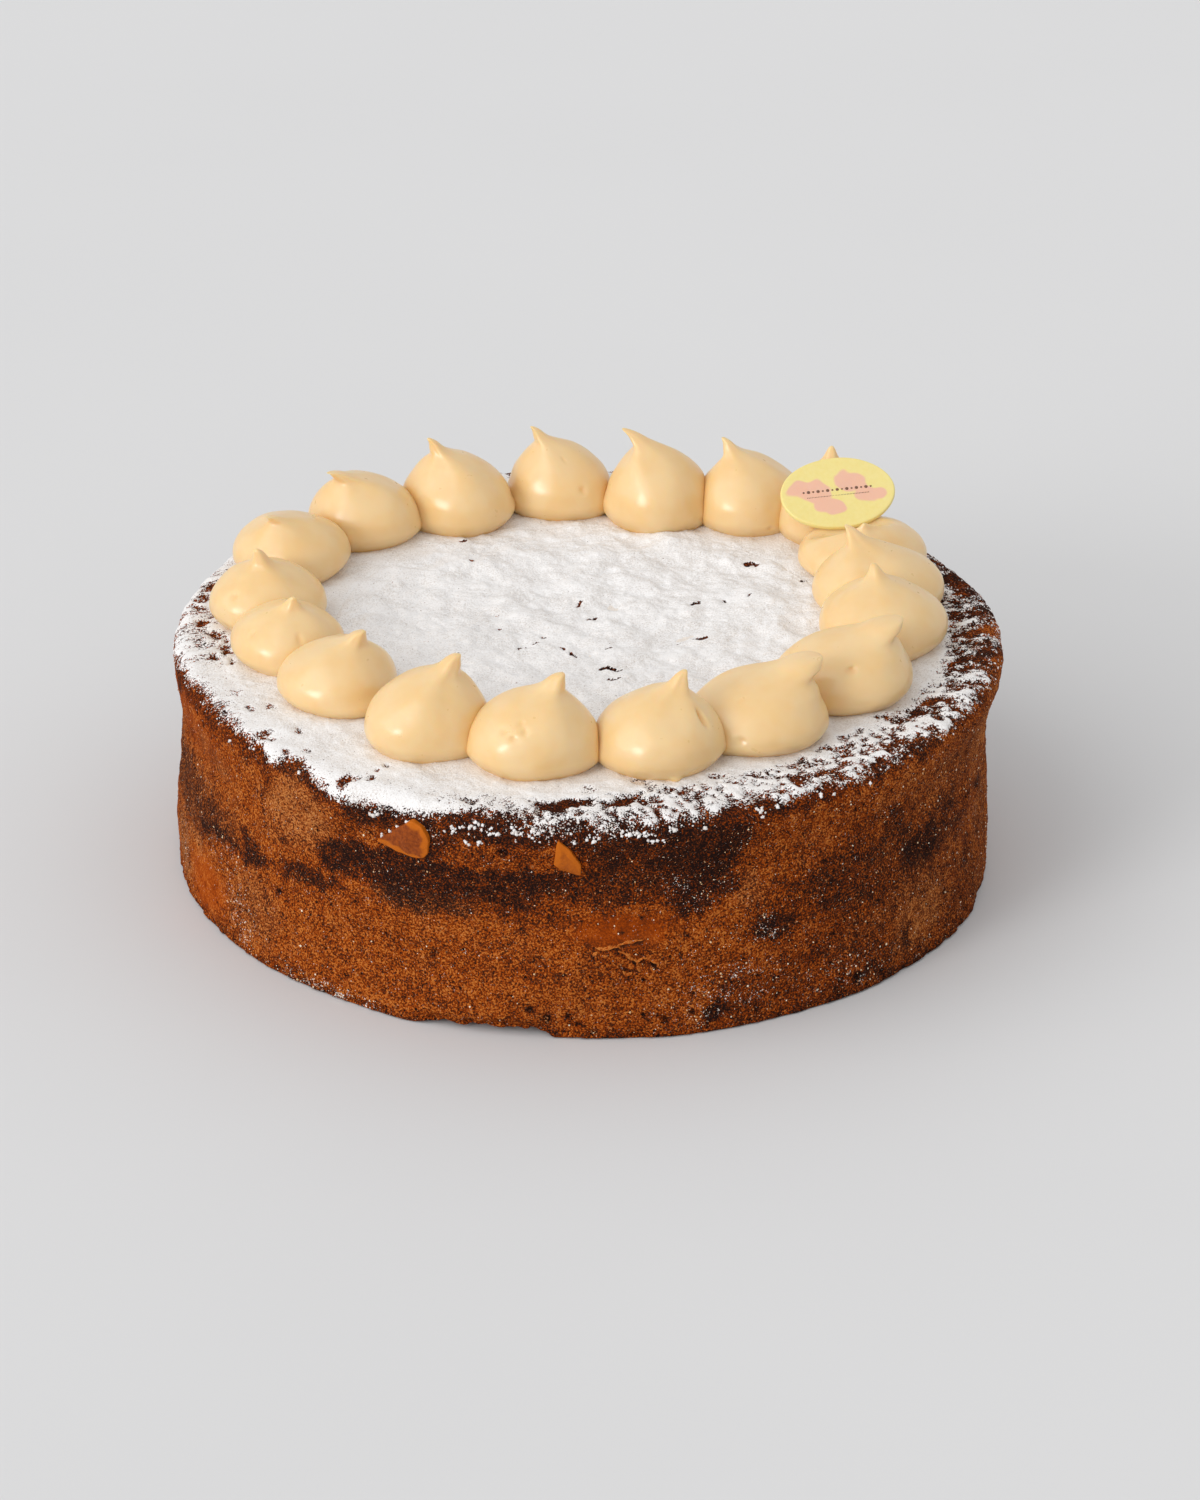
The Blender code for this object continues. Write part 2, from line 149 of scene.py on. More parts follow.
def round_axis(radius, angle, height):
    """Points at a distance from the upright axis, in a direction in radians, at a height."""
    return np.stack([radius * np.cos(angle), radius * np.sin(angle), height], axis=-1)


def full_turn(columns):
    """Directions in radians, evenly spaced all the way round."""
    return np.linspace(-pi, pi, columns, endpoint=False)


def waves(seed, count, across, up):
    """Seeded waves that close round the cake, as in the solids."""
    draw = np.random.default_rng(seed)
    rows = []
    for _ in range(count):
        around = int(draw.integers(across[0], across[1] + 1))
        rise = draw.uniform(up[0], up[1]) * draw.choice((-1.0, 1.0))
        rows.append((around, rise, draw.uniform(0.0, 2.0 * pi), 1.0 / (1.0 + around / across[0])))
    return rows


def unevenness(rows, angle, height):
    """The sum of the waves, about -1 to 1, at angles in radians and heights in millimetres."""
    total = sum(row[3] for row in rows)
    rise = sum(
        share * np.cos(around * angle + 2.0 * pi * turns * height + phase)
        for around, turns, phase, share in rows
    )
    return rise / total * 2.0


CRUST_WAVES = waves(7, 9, (3, 14), (0.01, 0.04))
TOP_WAVES = waves(12, 8, (2, 7), (0.01, 0.03))
CRUST_RELIEF, TOP_RELIEF = 0.7, 0.9


# Turns the lattice of the noise away from the axes, so that no pattern runs along them.
LATTICE_TURN = np.array(Matrix.Rotation(0.61, 3, "Z") @ Matrix.Rotation(0.83, 3, "X"))


def corner_value(cell, seed):
    """A repeatable number from 0 to 1 for each whole-number corner of space."""
    x, y, z = cell[..., 0], cell[..., 1], cell[..., 2]
    mixed = (x * 73856093) ^ (y * 19349663) ^ (z * 83492791) ^ (seed * 40503 + 977)
    mixed = (mixed ^ (mixed >> 13)) * 1274126177
    mixed = (mixed ^ (mixed >> 16)) * 668265263
    return ((mixed ^ (mixed >> 15)) & 0xFFFFFF) / float(0xFFFFFF)


def clouds(points, size, seed):
    """Soft noise, about -1 to 1: random values at the corners of a lattice of that size in
    millimetres, blended smoothly between the eight corners round each point. Each use of clouds
    or pebbles has a seed of its own."""
    scaled = points @ LATTICE_TURN / size
    base = np.floor(scaled).astype(np.int64)
    part = scaled - base
    part = part * part * (3.0 - 2.0 * part)
    total = np.zeros(points.shape[:-1])
    for corner in product((0, 1), repeat=3):
        weight = np.prod(np.where(corner, part, 1.0 - part), axis=-1)
        total += weight * corner_value(base + np.array(corner), seed)
    return (2.0 * total - 1.0) * 1.6


def layered(points, *layers):
    """Clouds of several sizes added up, each given by its strength, size and seed."""
    return sum(strength * clouds(points, size, seed) for strength, size, seed in layers)


def pebbles(points, size, seed):
    """Distance, in cells, from each point to the nearest of the seeds of a lattice that has one
    seed at a random place in each cell: 0 on a seed and about 1 between them."""
    scaled = points @ LATTICE_TURN / size
    base = np.floor(scaled).astype(np.int64)
    nearest = np.full(points.shape[:-1], 9.0)
    for corner in product((-1, 0, 1), repeat=3):
        cell = base + np.array(corner)
        spot = np.stack([corner_value(cell, seed + k) for k in (11, 23, 37)], axis=-1)
        nearest = np.minimum(nearest, np.sum((cell + spot - scaled) ** 2, axis=-1))
    return np.sqrt(nearest)


def side_radius(height):
    """The wall's radius, which narrows evenly upwards."""
    return FOOT_RADIUS - SIDE_TAPER * height


def flare(angle, height):
    """How far the top edge stands out past the wall."""
    lip = 1.6 * hump(angle, -5.0, 55.0) * smooth_step(55.0, 66.0, height)
    return lip + 2.6 * smooth_step(48.0, 65.0, height)


def rim_lift(angle):
    """How far the rim stands up at the right, or sags at the front left."""
    return 2.4 * hump(angle, -22.0, 48.0) - 1.6 * hump(angle, -112.0, 26.0)


def seat_reach(angle):
    """How far out the level seat of the kisses reaches: less at the right, where the rim rises."""
    off = np.abs(turn_between(-22.0, angle))
    return SEAT_OUTER_RIGHT + (SEAT_OUTER - SEAT_OUTER_RIGHT) * smooth_step(36.0, 50.0, off)


def foot_chip(angle):
    """The chips of crust missing from the foot, at the front left, where it ends a little further
    right than the solid's, and the back."""
    front = smooth_step(-114.0, -109.0, angle) * (1.0 - smooth_step(-95.3, -93.5, angle))
    back = smooth_step(68.0, 74.0, angle) * (1.0 - smooth_step(84.0, 90.0, angle))
    return front + 0.6 * back


def shape_cake(angle, radius, height):
    """Where a point of the turned body, given by angle in radians, radius and height, ends up: out
    or in by the flare and the crags, up or down by the lumps and the lift of the rim, and away
    from the chipped foot, as in the solid."""
    degrees = np.degrees(angle)
    outer = smooth_step(SEAT_OUTER - 6.0, SEAT_OUTER + 4.0, radius)
    upper = smooth_step(40.0, SEAT_HEIGHT, height)
    shift = FOOT_CENTRE_X + (RIM_CENTRE_X - FOOT_CENTRE_X) * upper
    crags = CRUST_RELIEF * unevenness(CRUST_WAVES, angle, height)
    low = (1.0 - smooth_step(0.5, 6.0, height)) * smooth_step(108.0, 117.0, radius)
    chip = foot_chip(degrees) * low
    moved = radius + outer * (flare(degrees, height) + crags) - CHIP_DEPTH * chip
    inner = 1.0 - smooth_step(SEAT_INNER - 10.0, SEAT_INNER, radius)
    reach = seat_reach(degrees)
    edge = smooth_step(reach, reach + 10.0, radius) * smooth_step(46.0, 62.0, height)
    lumps = TOP_RELIEF * unevenness(TOP_WAVES, angle, radius) * smooth_step(0.0, 30.0, radius)
    top = inner * lumps * (height > 0.5 * SEAT_HEIGHT)
    lifted = height + top + edge * (rim_lift(degrees) + 0.4 * lumps) + CHIP_RISE * chip
    points = round_axis(moved, angle, lifted)
    points[..., 0] += shift * outer
    return points


RIM_START = side_radius(SEAT_HEIGHT) - RIM_ROUND[0]
RIM_ARC = 7.47  # length of the quarter ellipse of the rim
WALL_DEGREE = radians(1.0) * FOOT_RADIUS  # millimetres along the wall for each degree round it
RIM_DEGREE = radians(1.0) * RIM_START


def down_the_outside(down):
    """The turned body's outline, followed from the top outwards. down is the distance past the
    start of the rounded rim: below zero on the flat top, and past the rim's arc on the wall. Gives
    radius, height and the outward direction in radius and height."""
    share = np.clip(down / RIM_ARC, 0.0, 1.0)
    turn = 0.5 * pi * share
    flat = np.minimum(down, 0.0)
    fall = np.maximum(down - RIM_ARC, 0.0)
    height = SEAT_HEIGHT - RIM_ROUND[1] * (1.0 - np.cos(turn)) - fall
    radius = RIM_START + RIM_ROUND[0] * np.sin(turn) + flat + SIDE_TAPER * fall
    return radius, height, np.sin(turn), np.cos(turn)


# ---------------------------------------------------------------- meshes
def grid_faces(rows, columns, first=0):
    """Quads of a grid whose rows run outwards from a pole and whose columns close round it
    anticlockwise, so that the faces point up and out."""
    here = first + np.arange(rows * columns).reshape(rows, columns)
    after = np.roll(here, -1, axis=1)
    return np.stack([here[:-1], here[1:], after[1:], after[:-1]], axis=-1).reshape(-1, 4)


def pole_faces(pole, ring, outwards=True):
    """Triangles between a pole and the ring round it."""
    after = np.roll(ring, -1)
    middle = np.full(len(ring), pole)
    return np.stack([middle, ring, after] if outwards else [middle, after, ring], axis=-1)


def closed_faces(rows, columns):
    """Faces of a surface that is closed round and has a pole at each end. Its points are the first
    pole, the rows, and the last pole."""
    last = 1 + (rows - 1) * columns
    ring = np.arange(columns)
    return [
        grid_faces(rows, columns, 1),
        pole_faces(0, 1 + ring),
        pole_faces(1 + rows * columns, last + ring, outwards=False),
    ]


def closed_points(first_pole, rows, last_pole):
    """The points that closed_faces joins, in its order."""
    return np.concatenate([np.array([first_pole]), rows.reshape(-1, 3), np.array([last_pole])])


def closed_values(first_pole, rows, last_pole):
    """A value for each of the points that closed_points gives."""
    return np.concatenate([[first_pole], rows.ravel(), [last_pole]])


def placed(points, place):
    """Points in a piece's own axes, put where the piece is."""
    return points @ place[:3, :3].T + place[:3, 3]


def add_piece(name, points, faces, material, replaced=(), values=None):
    """A smooth mesh from points in millimetres and arrays of corner numbers, with its own values
    for each point, riding on the cake."""
    mesh = bpy.data.meshes.new(name)
    sizes = np.concatenate([np.full(len(part), part.shape[1]) for part in faces])
    corners = np.concatenate([part.ravel() for part in faces])
    mesh.vertices.add(len(points))
    mesh.vertices.foreach_set("co", (points * MM).astype(np.float32).ravel())
    mesh.loops.add(len(corners))
    mesh.loops.foreach_set("vertex_index", corners.astype(np.int32))
    mesh.polygons.add(len(sizes))
    starts = np.concatenate([[0], np.cumsum(sizes)[:-1]])
    mesh.polygons.foreach_set("loop_start", starts.astype(np.int32))
    mesh.update(calc_edges=True)
    mesh.shade_smooth()
    for key, numbers in (values or {}).items():
        layer = mesh.attributes.new(key, "FLOAT", "POINT")
        layer.data.foreach_set("value", numbers.astype(np.float32).ravel())
    mesh.validate()
    mesh.materials.append(material)
    piece = bpy.data.objects.new(name, mesh)
    bpy.context.scene.collection.objects.link(piece)
    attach(piece, BODY)
    if replaced:
        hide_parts(*replaced)


# ---------------------------------------------------------------- shader tools
def feed(tree, node, inputs):
    """Gives a node's inputs, by name or number, their values or other nodes' sockets."""
    for key, value in inputs.items():
        socket = node.inputs[key]
        if isinstance(value, bpy.types.NodeSocket):
            tree.links.new(value, socket)
        else:
            socket.default_value = value


def put(tree, kind, inputs=None, **settings):
    """A new shader node with its settings and inputs."""
    made = tree.nodes.new("ShaderNode" + kind)
    for key, value in settings.items():
        setattr(made, key, value)
    feed(tree, made, inputs or {})
    return made


def math(tree, operation, first, second):
    """Arithmetic on two sockets or numbers."""
    return put(tree, "Math", {0: first, 1: second}, operation=operation).outputs[0]


def weighed(tree, first, second, share):
    """The first and the second added up, with that share of the second."""
    part = math(tree, "MULTIPLY", second, share)
    return math(tree, "ADD", math(tree, "MULTIPLY", first, 1.0 - share), part)


def ramp(tree, value, low, high):
    """value taken from low..high to 0..1, with soft ends."""
    inputs = {"Value": value, "From Min": low, "From Max": high}
    return put(tree, "MapRange", inputs, interpolation_type="SMOOTHSTEP").outputs["Result"]


def spread(tree, value, low, high):
    """value taken from 0..1 to low..high."""
    return put(tree, "MapRange", {"Value": value, "To Min": low, "To Max": high}).outputs["Result"]


def blend_colour(tree, share, first, second):
    """The first colour, with that share of the second."""
    return put(tree, "Mix", {0: share, 6: first, 7: second}, data_type="RGBA").outputs[2]


def own_value(tree, name):
    """The value of that name that the mesh holds for each of its points."""
    return put(tree, "Attribute", attribute_name=name).outputs["Fac"]


def object_place(tree):
    """The place on the piece, which is the place in the frame, in metres."""
    return put(tree, "TexCoord").outputs["Object"]


def per_metre(size):
    """The scale of a pattern whose features are size millimetres across."""
    return 1.0 / (size * MM)


def noise(tree, place, size, detail=2.0, roughness=0.5):
    """Soft noise from 0 to 1 with features of that size in millimetres."""
    inputs = {"Vector": place, "Scale": per_metre(size), "Detail": detail, "Roughness": roughness}
    return put(tree, "TexNoise", inputs).outputs["Fac"]


def shades(tree, value, stops):
    """A colour for each value from 0 to 1, straight between the named stops."""
    made = put(tree, "ValToRGB", {"Fac": value})
    elements = made.color_ramp.elements
    for element, (place, colour) in zip(elements, (stops[0], stops[-1])):
        element.position = place
        element.color = (*colour, 1.0)
    for place, colour in stops[1:-1]:
        elements.new(place).color = (*colour, 1.0)
    return made.outputs["Color"]


def raised(tree, height, depth, strength):
    """The normals of a surface that stands up by depth millimetres where height is 1."""
    bump = put(tree, "Bump", {"Height": height, "Distance": depth * MM, "Strength": strength})
    return bump.outputs["Normal"]


def new_material(name):
    """A material, its node tree and its shader."""
    material = bpy.data.materials.new(name)
    material.use_nodes = True
    tree = material.node_tree
    return material, tree, tree.nodes["Principled BSDF"]


def add_group(name, inputs, outputs):
    """An empty shader node group with sockets of those kinds, what it is given, and its end."""
    group = bpy.data.node_groups.new(name, "ShaderNodeTree")
    for way, sockets in (("INPUT", inputs), ("OUTPUT", outputs)):
        for key, kind in sockets.items():
            group.interface.new_socket(key, in_out=way, socket_type="NodeSocket" + kind)
    given = group.nodes.new("NodeGroupInput").outputs
    return group, given, group.nodes.new("NodeGroupOutput")


# ---------------------------------------------------------------- shared effects
def add_grain_group():
    """Baked crumb: a shade that wanders from grain to grain round 0.5, and the height that the
    grains stand up to, both from fine noise with a little broad noise in it."""
    group, given, out = add_group(
        "baked_grain", {"Place": "Vector"}, {"Shade": "Float", "Rise": "Float"}
    )
    fine = noise(group, given["Place"], 0.58, 2.0, 0.7)
    broad = noise(group, given["Place"], 2.6, 2.0)
    rise = weighed(group, fine, broad, 0.15)
    wide = math(group, "MULTIPLY", math(group, "SUBTRACT", rise, 0.5), 4.6)
    feed(group, out, {"Shade": math(group, "ADD", wide, 0.5), "Rise": rise})
    return group


def add_crust_group(grain):
    """The colour of the crust for a darkness from 0, orange, to 1, black chocolate, which also
    carries painted shade, for a share of tan, and for how smooth it is. Every grain is a little
    darker or paler than the next, and small holes, darkened with painted shade, are scattered among
    them."""
    group, given, out = add_group(
        "crust_colour",
        {"Place": "Vector", "Darkness": "Float", "Tan": "Float", "Smooth": "Float"},
        {"Colour": "Color", "Rise": "Float"},
    )
    place = given["Place"]
    grains = put(group, "Group", {"Place": place}, node_tree=grain).outputs
    rough = math(group, "SUBTRACT", 1.0, math(group, "MULTIPLY", given["Smooth"], 0.7))
    swing = math(group, "MULTIPLY", math(group, "SUBTRACT", 0.5, grains["Shade"]), 0.78)
    swing = math(group, "MULTIPLY", swing, rough)
    # Small holes, sunk in the rise and darkened with painted shade.
    holes = put(group, "TexVoronoi", {"Vector": place, "Scale": per_metre(5.2)})
    hole = math(group, "SUBTRACT", 1.0, ramp(group, holes.outputs["Distance"], 0.05, 0.10))
    hole = math(group, "MULTIPLY", hole, rough)
    depth = math(group, "ADD", math(group, "MULTIPLY", given["Darkness"], 0.76), 0.20)
    depth = math(group, "ADD", depth, swing)
    depth = math(group, "ADD", depth, math(group, "MULTIPLY", hole, 0.6))
    orange = shades(group, depth, CRUST_SHADES)
    tan = shades(group, depth, TAN_SHADES)
    rise = math(group, "SUBTRACT", math(group, "MULTIPLY", grains["Rise"], rough), hole)
    feed(group, out, {"Colour": blend_colour(group, given["Tan"], orange, tan), "Rise": rise})
    return group


def add_dust_group():
    """Icing sugar dust: 1 where a grain lies, for an amount from 0, none, to 1, all white. A grain
    lies where noise stands above a bar, which a larger amount lowers."""
    group, given, out = add_group(
        "sugar_dust", {"Place": "Vector", "Amount": "Float"}, {"Mask": "Float"}
    )
    fine = noise(group, given["Place"], 0.52, 2.0, 0.6)
    broad = noise(group, given["Place"], 1.4, 1.0)
    bar = spread(group, given["Amount"], 0.68, 0.305)
    above = math(group, "SUBTRACT", weighed(group, fine, broad, 0.28), bar)
    feed(group, out, {"Mask": ramp(group, above, -0.02, 0.03)})
    return group


# ---------------------------------------------------------------- finishes
CRUST_SHADES = (  # from the palest grains to black chocolate
    (0.00, (0.500, 0.160, 0.030)),
    (0.14, (0.388, 0.080, 0.008)),
    (0.30, (0.272, 0.043, 0.003)),
    (0.46, (0.164, 0.028, 0.004)),
    (0.62, (0.085, 0.020, 0.006)),
    (0.80, (0.040, 0.013, 0.007)),
    (1.00, (0.016, 0.007, 0.006)),
)
TAN_SHADES = (
    (0.00, (0.620, 0.330, 0.130)),
    (0.30, (0.340, 0.125, 0.034)),
    (0.60, (0.115, 0.040, 0.016)),
    (1.00, (0.026, 0.013, 0.009)),
)
SUGAR_WHITE = (0.880, 0.862, 0.855, 1.0)
SUGAR_GREY = (0.670, 0.625, 0.590, 1.0)
SUGAR_ON_CRUST = (0.860, 0.785, 0.715, 1.0)
CREAM = (0.800, 0.575, 0.295, 1.0)
CREAM_DEEP = (0.790, 0.530, 0.235, 1.0)
# Painted shade: the deeper orange round each kiss's foot, in its creases and in its pits.
CREAM_PAINTED_SHADE = (0.860, 0.500, 0.160, 1.0)
PLAQUE_YELLOW = (0.770, 0.640, 0.215, 1.0)
PLAQUE_PALE = (0.810, 0.700, 0.300, 1.0)
PLAQUE_PINK = (0.780, 0.460, 0.330, 1.0)
LUMP_GREY = (0.700, 0.640, 0.600, 1.0)
SUGAR_STAINED = (0.660, 0.420, 0.200, 1.0)
SUGAR_CLEAN = (0.920, 0.800, 0.620, 1.0)
CRUMB_DARK = (0.050, 0.016, 0.006, 1.0)
CRUMB_PALE = (0.480, 0.180, 0.050, 1.0)
DOT_BROWN = (0.130, 0.060, 0.030, 1.0)
DOT_BROWN_PALE = (0.200, 0.095, 0.050, 1.0)
ALMOND_SKIN = (0.180, 0.036, 0.007, 1.0)
ALMOND_SKIN_PALE = (0.320, 0.070, 0.010, 1.0)
ALMOND_CUT = (0.500, 0.122, 0.008, 1.0)


def dust_over(tree, dust, place, under, white):
    """White where the dust group says that sugar lies, by the points' own amount."""
    inputs = {"Place": place, "Amount": own_value(tree, "amount")}
    powder = put(tree, "Group", inputs, node_tree=dust)
    return blend_colour(tree, powder.outputs["Mask"], under, white)


def crust_finish(crust, dust):
    """Orange-brown crust that turns to dark chocolate by the points' own values, which also hold
    painted shade at the foot, under the flakes and in the pores, all of it in fine grains of
    mixed tone, with dust of sugar near the powder."""
    material, tree, shader = new_material("baked_crust")
    place = object_place(tree)
    values = {key: own_value(tree, key.lower()) for key in ("Darkness", "Tan", "Smooth")}
    baked = put(tree, "Group", {"Place": place, **values}, node_tree=crust).outputs
    finish = {
        "Base Color": dust_over(tree, dust, place, baked["Colour"], SUGAR_ON_CRUST),
        "Roughness": 0.85,
        "Specular IOR Level": 0.02,
        "Normal": raised(tree, baked["Rise"], 0.9, 0.8),
    }
    feed(tree, shader, finish)
    return material


def sugar_finish(crust, dust):
    """White powder with a faint warm and grey unevenness and a fine dry grain, and dark crust in
    the gaps that the dust leaves."""
    material, tree, shader = new_material("icing_sugar")
    place = object_place(tree)
    fine = noise(tree, place, 0.55, 2.0, 0.7)
    broad = noise(tree, place, 9.0, 3.0, 0.5)
    tint = ramp(tree, weighed(tree, fine, broad, 0.3), 0.30, 0.55)
    white = blend_colour(tree, tint, SUGAR_GREY, SUGAR_WHITE)
    inputs = {"Place": place, "Darkness": own_value(tree, "darkness")}
    baked = put(tree, "Group", inputs, node_tree=crust)
    finish = {
        "Base Color": dust_over(tree, dust, place, baked.outputs["Colour"], white),
        "Roughness": 0.95,
        "Specular IOR Level": 0.1,
        "Normal": raised(tree, fine, 0.45, 0.8),
    }
    feed(tree, shader, finish)
    return material


def cream_finish():
    """Smooth satin cream that lets light through, a little uneven in gloss, with painted shade of a
    deeper orange round its foot, in its creases and in its pits."""
    material, tree, shader = new_material("piped_cream")
    place = object_place(tree)
    cloud = ramp(tree, noise(tree, place, 9.0, 2.0), 0.3, 0.75)
    base = blend_colour(tree, cloud, CREAM, CREAM_DEEP)
    finish = {
        # Painted shade where the points' own value says.
        "Base Color": blend_colour(tree, own_value(tree, "painted_shade"), base, CREAM_PAINTED_SHADE),
        "Roughness": spread(tree, noise(tree, place, 3.0, 2.0), 0.25, 0.34),
        "Subsurface Weight": 0.35,
        "Subsurface Radius": (1.0, 0.5, 0.2),
        "Subsurface Scale": 4.5 * MM,
        "Specular IOR Level": 0.70,
    }
    feed(tree, shader, finish)
    return material


def plaque_finish():
    """Pale yellow chocolate with soft pink patches where its own value says."""
    material, tree, shader = new_material("white_chocolate")
    place = object_place(tree)
    cloud = noise(tree, place, 1.2, 3.0)
    base = blend_colour(tree, cloud, PLAQUE_YELLOW, PLAQUE_PALE)
    pink = math(tree, "ADD", own_value(tree, "pink"), math(tree, "MULTIPLY", cloud, 0.15))
    finish = {
        "Base Color": blend_colour(tree, ramp(tree, pink, 0.2, 0.75), base, PLAQUE_PINK),
        "Roughness": 0.34,
        "Subsurface Weight": 0.25,
        "Subsurface Radius": (1.0, 0.7, 0.3),
        "Subsurface Scale": 1.0 * MM,
        "Normal": raised(tree, noise(tree, place, 0.8, 3.0), 0.04, 0.5),
    }
    feed(tree, shader, finish)
    return material


def dots_finish():
    """Dark chocolate of slightly mixed shade."""
    material, tree, shader = new_material("dark_chocolate_dots")
    tint = noise(tree, object_place(tree), 0.4, 2.0)
    base = blend_colour(tree, tint, DOT_BROWN, DOT_BROWN_PALE)
    feed(tree, shader, {"Base Color": base, "Roughness": 0.45})
    return material


def almond_finish():
    """Brown skin with fine wrinkles, and the orange of the cut side where its own value says."""
    material, tree, shader = new_material("toasted_almond")
    cloud = noise(tree, object_place(tree), 1.0, 4.0, 0.65)
    skin = blend_colour(tree, ramp(tree, cloud, 0.3, 0.7), ALMOND_SKIN, ALMOND_SKIN_PALE)
    cut = math(tree, "ADD", own_value(tree, "cut"), math(tree, "MULTIPLY", cloud, 0.3))
    finish = {
        "Base Color": blend_colour(tree, ramp(tree, cut, 0.35, 1.05), skin, ALMOND_CUT),
        "Roughness": 0.42,
        "Specular IOR Level": 0.08,
        "Normal": raised(tree, cloud, 0.25, 0.6),
    }
    feed(tree, shader, finish)
    return material


def loose_finish(name, low, high, roughness):
    """Loose grains, each between two colours by its own value."""
    material, tree, shader = new_material(name)
    grain = noise(tree, object_place(tree), 0.25, 1.0)
    tint = math(tree, "ADD", own_value(tree, "tint"), math(tree, "MULTIPLY", grain, 0.2))
    base = blend_colour(tree, ramp(tree, tint, 0.0, 1.1), low, high)
    feed(tree, shader, {"Base Color": base, "Roughness": roughness})
    return material


# ---------------------------------------------------------------- marks on the wall
Patch = namedtuple("Patch", "angle height wide high value tilt soft", defaults=(0.0, 0.4))
PLAIN_DARKNESS = 0.19
TAN_STRENGTH = 0.45
# How dark the crust is, laid one over another from here down: 0 is orange and 1 black chocolate.
# The first, broad patch darkens the whole right side, which faces away from the light: partly
# the crust's own darker colour and partly painted shade.
DARK_PATCHES = (
    Patch(-34.0, 35.0, 60.0, 62.0, 0.38, 0.0, 0.5),
    Patch(-157.0, 12.0, 15.0, 9.5, 0.04),
    Patch(-155.0, 54.0, 30.0, 10.0, 0.16),
    Patch(-134.0, 56.0, 13.0, 12.0, 0.08),
    Patch(-140.3, 58.0, 1.3, 9.0, 0.42, -4.0),
    Patch(-124.0, 54.0, 7.0, 9.0, 0.36),
    Patch(-164.0, 35.0, 34.0, 9.5, 0.62),
    Patch(-152.0, 31.0, 13.0, 1.8, 0.94, 3.0),
    Patch(-142.0, 31.5, 5.5, 4.5, 0.84),
    Patch(-132.0, 35.3, 14.0, 2.6, 0.80, 9.0),
    Patch(-144.0, 38.0, 3.0, 2.5, 0.72),
    Patch(-137.0, 42.0, 2.2, 2.2, 0.60),
    Patch(-96.0, 38.5, 18.0, 4.5, 0.42),
    Patch(-113.0, 38.8, 17.0, 3.2, 0.60),
    Patch(-126.0, 45.5, 6.5, 5.5, 0.86),
    Patch(-116.0, 46.3, 27.0, 6.0, 0.94),
    Patch(-99.0, 46.8, 17.0, 5.2, 0.84),
    Patch(-108.0, 50.6, 30.0, 1.6, 0.97),
    Patch(-111.5, 58.5, 7.0, 9.0, 0.80),
    Patch(-117.0, 52.0, 8.0, 3.0, 0.82),
    Patch(-121.5, 62.5, 8.0, 3.6, 0.80),
    Patch(-100.0, 57.0, 15.0, 6.0, 0.38),
    Patch(-80.0, 58.0, 22.0, 11.0, 0.80),
    Patch(-86.5, 48.0, 13.0, 5.5, 0.66),
    Patch(-74.0, 46.0, 11.0, 6.5, 0.84),
    Patch(-72.5, 58.5, 12.0, 9.0, 0.93),
    Patch(-69.0, 62.0, 8.0, 6.0, 0.90),
    Patch(-118.0, 65.5, 14.0, 4.0, 0.82),
    Patch(-100.0, 65.0, 24.0, 3.2, 0.84),
    Patch(-80.0, 64.5, 24.0, 5.0, 0.88),
    Patch(-57.0, 59.5, 15.5, 8.5, 0.24, 0.0, 0.18),
    Patch(-40.0, 61.5, 24.0, 5.5, 0.24),
    Patch(-41.5, 53.5, 4.5, 4.0, 0.66),
    Patch(-43.0, 38.0, 38.0, 10.0, 0.58),
    Patch(-50.5, 38.0, 13.0, 9.0, 0.68),
    Patch(-35.5, 38.0, 8.0, 5.0, 0.92),
    Patch(-12.0, 55.0, 17.0, 9.0, 0.16),
    Patch(-28.0, 46.0, 5.0, 4.0, 0.70),
    Patch(-25.0, 36.0, 6.0, 5.0, 0.64),
    Patch(-63.0, 30.0, 5.5, 3.4, 0.90),
    Patch(-42.0, 12.0, 48.0, 12.0, 0.46, 0.0, 0.5),
    Patch(-34.0, 14.0, 12.0, 7.5, 0.24),
    Patch(-66.5, 10.0, 9.0, 9.0, 0.42),
    Patch(-38.0, 11.0, 2.2, 2.0, 0.80),
    Patch(-45.5, 5.0, 3.2, 2.3, 0.90),
    Patch(-71.5, 6.3, 2.8, 2.5, 0.94),
    Patch(-14.0, 38.0, 3.0, 1.6, 0.85),
    Patch(-18.0, 29.5, 4.5, 5.0, 0.18),
    Patch(-20.5, 19.5, 2.2, 5.0, 0.72),
    Patch(12.0, 40.0, 34.0, 8.0, 0.66),
    Patch(24.0, 43.0, 16.0, 6.0, 0.90, 8.0),
    Patch(5.0, 58.0, 22.0, 6.0, 0.40),
    Patch(30.0, 15.0, 24.0, 9.0, 0.42),
    Patch(48.0, 36.0, 22.0, 7.0, 0.88, -6.0),
    Patch(70.0, 46.0, 26.0, 8.0, 0.92, 10.0),
    Patch(62.0, 61.0, 18.0, 5.0, 0.80),
    Patch(92.0, 50.0, 18.0, 7.0, 0.86),
    Patch(100.0, 60.0, 20.0, 5.0, 0.34),
    Patch(118.0, 43.0, 24.0, 7.0, 0.74, -8.0),
    Patch(140.0, 38.0, 24.0, 8.0, 0.84),
    Patch(162.0, 40.0, 24.0, 7.5, 0.66),
    Patch(96.0, 24.0, 18.0, 6.0, 0.56, 14.0),
    Patch(128.0, 62.0, 24.0, 5.0, 0.55),
    Patch(150.0, 15.0, 18.0, 7.0, 0.10),
    Patch(75.0, 9.0, 4.0, 2.6, 0.88),
    Patch(41.0, 5.5, 3.0, 2.2, 0.90),
    Patch(112.0, 6.0, 2.6, 2.4, 0.90),
)
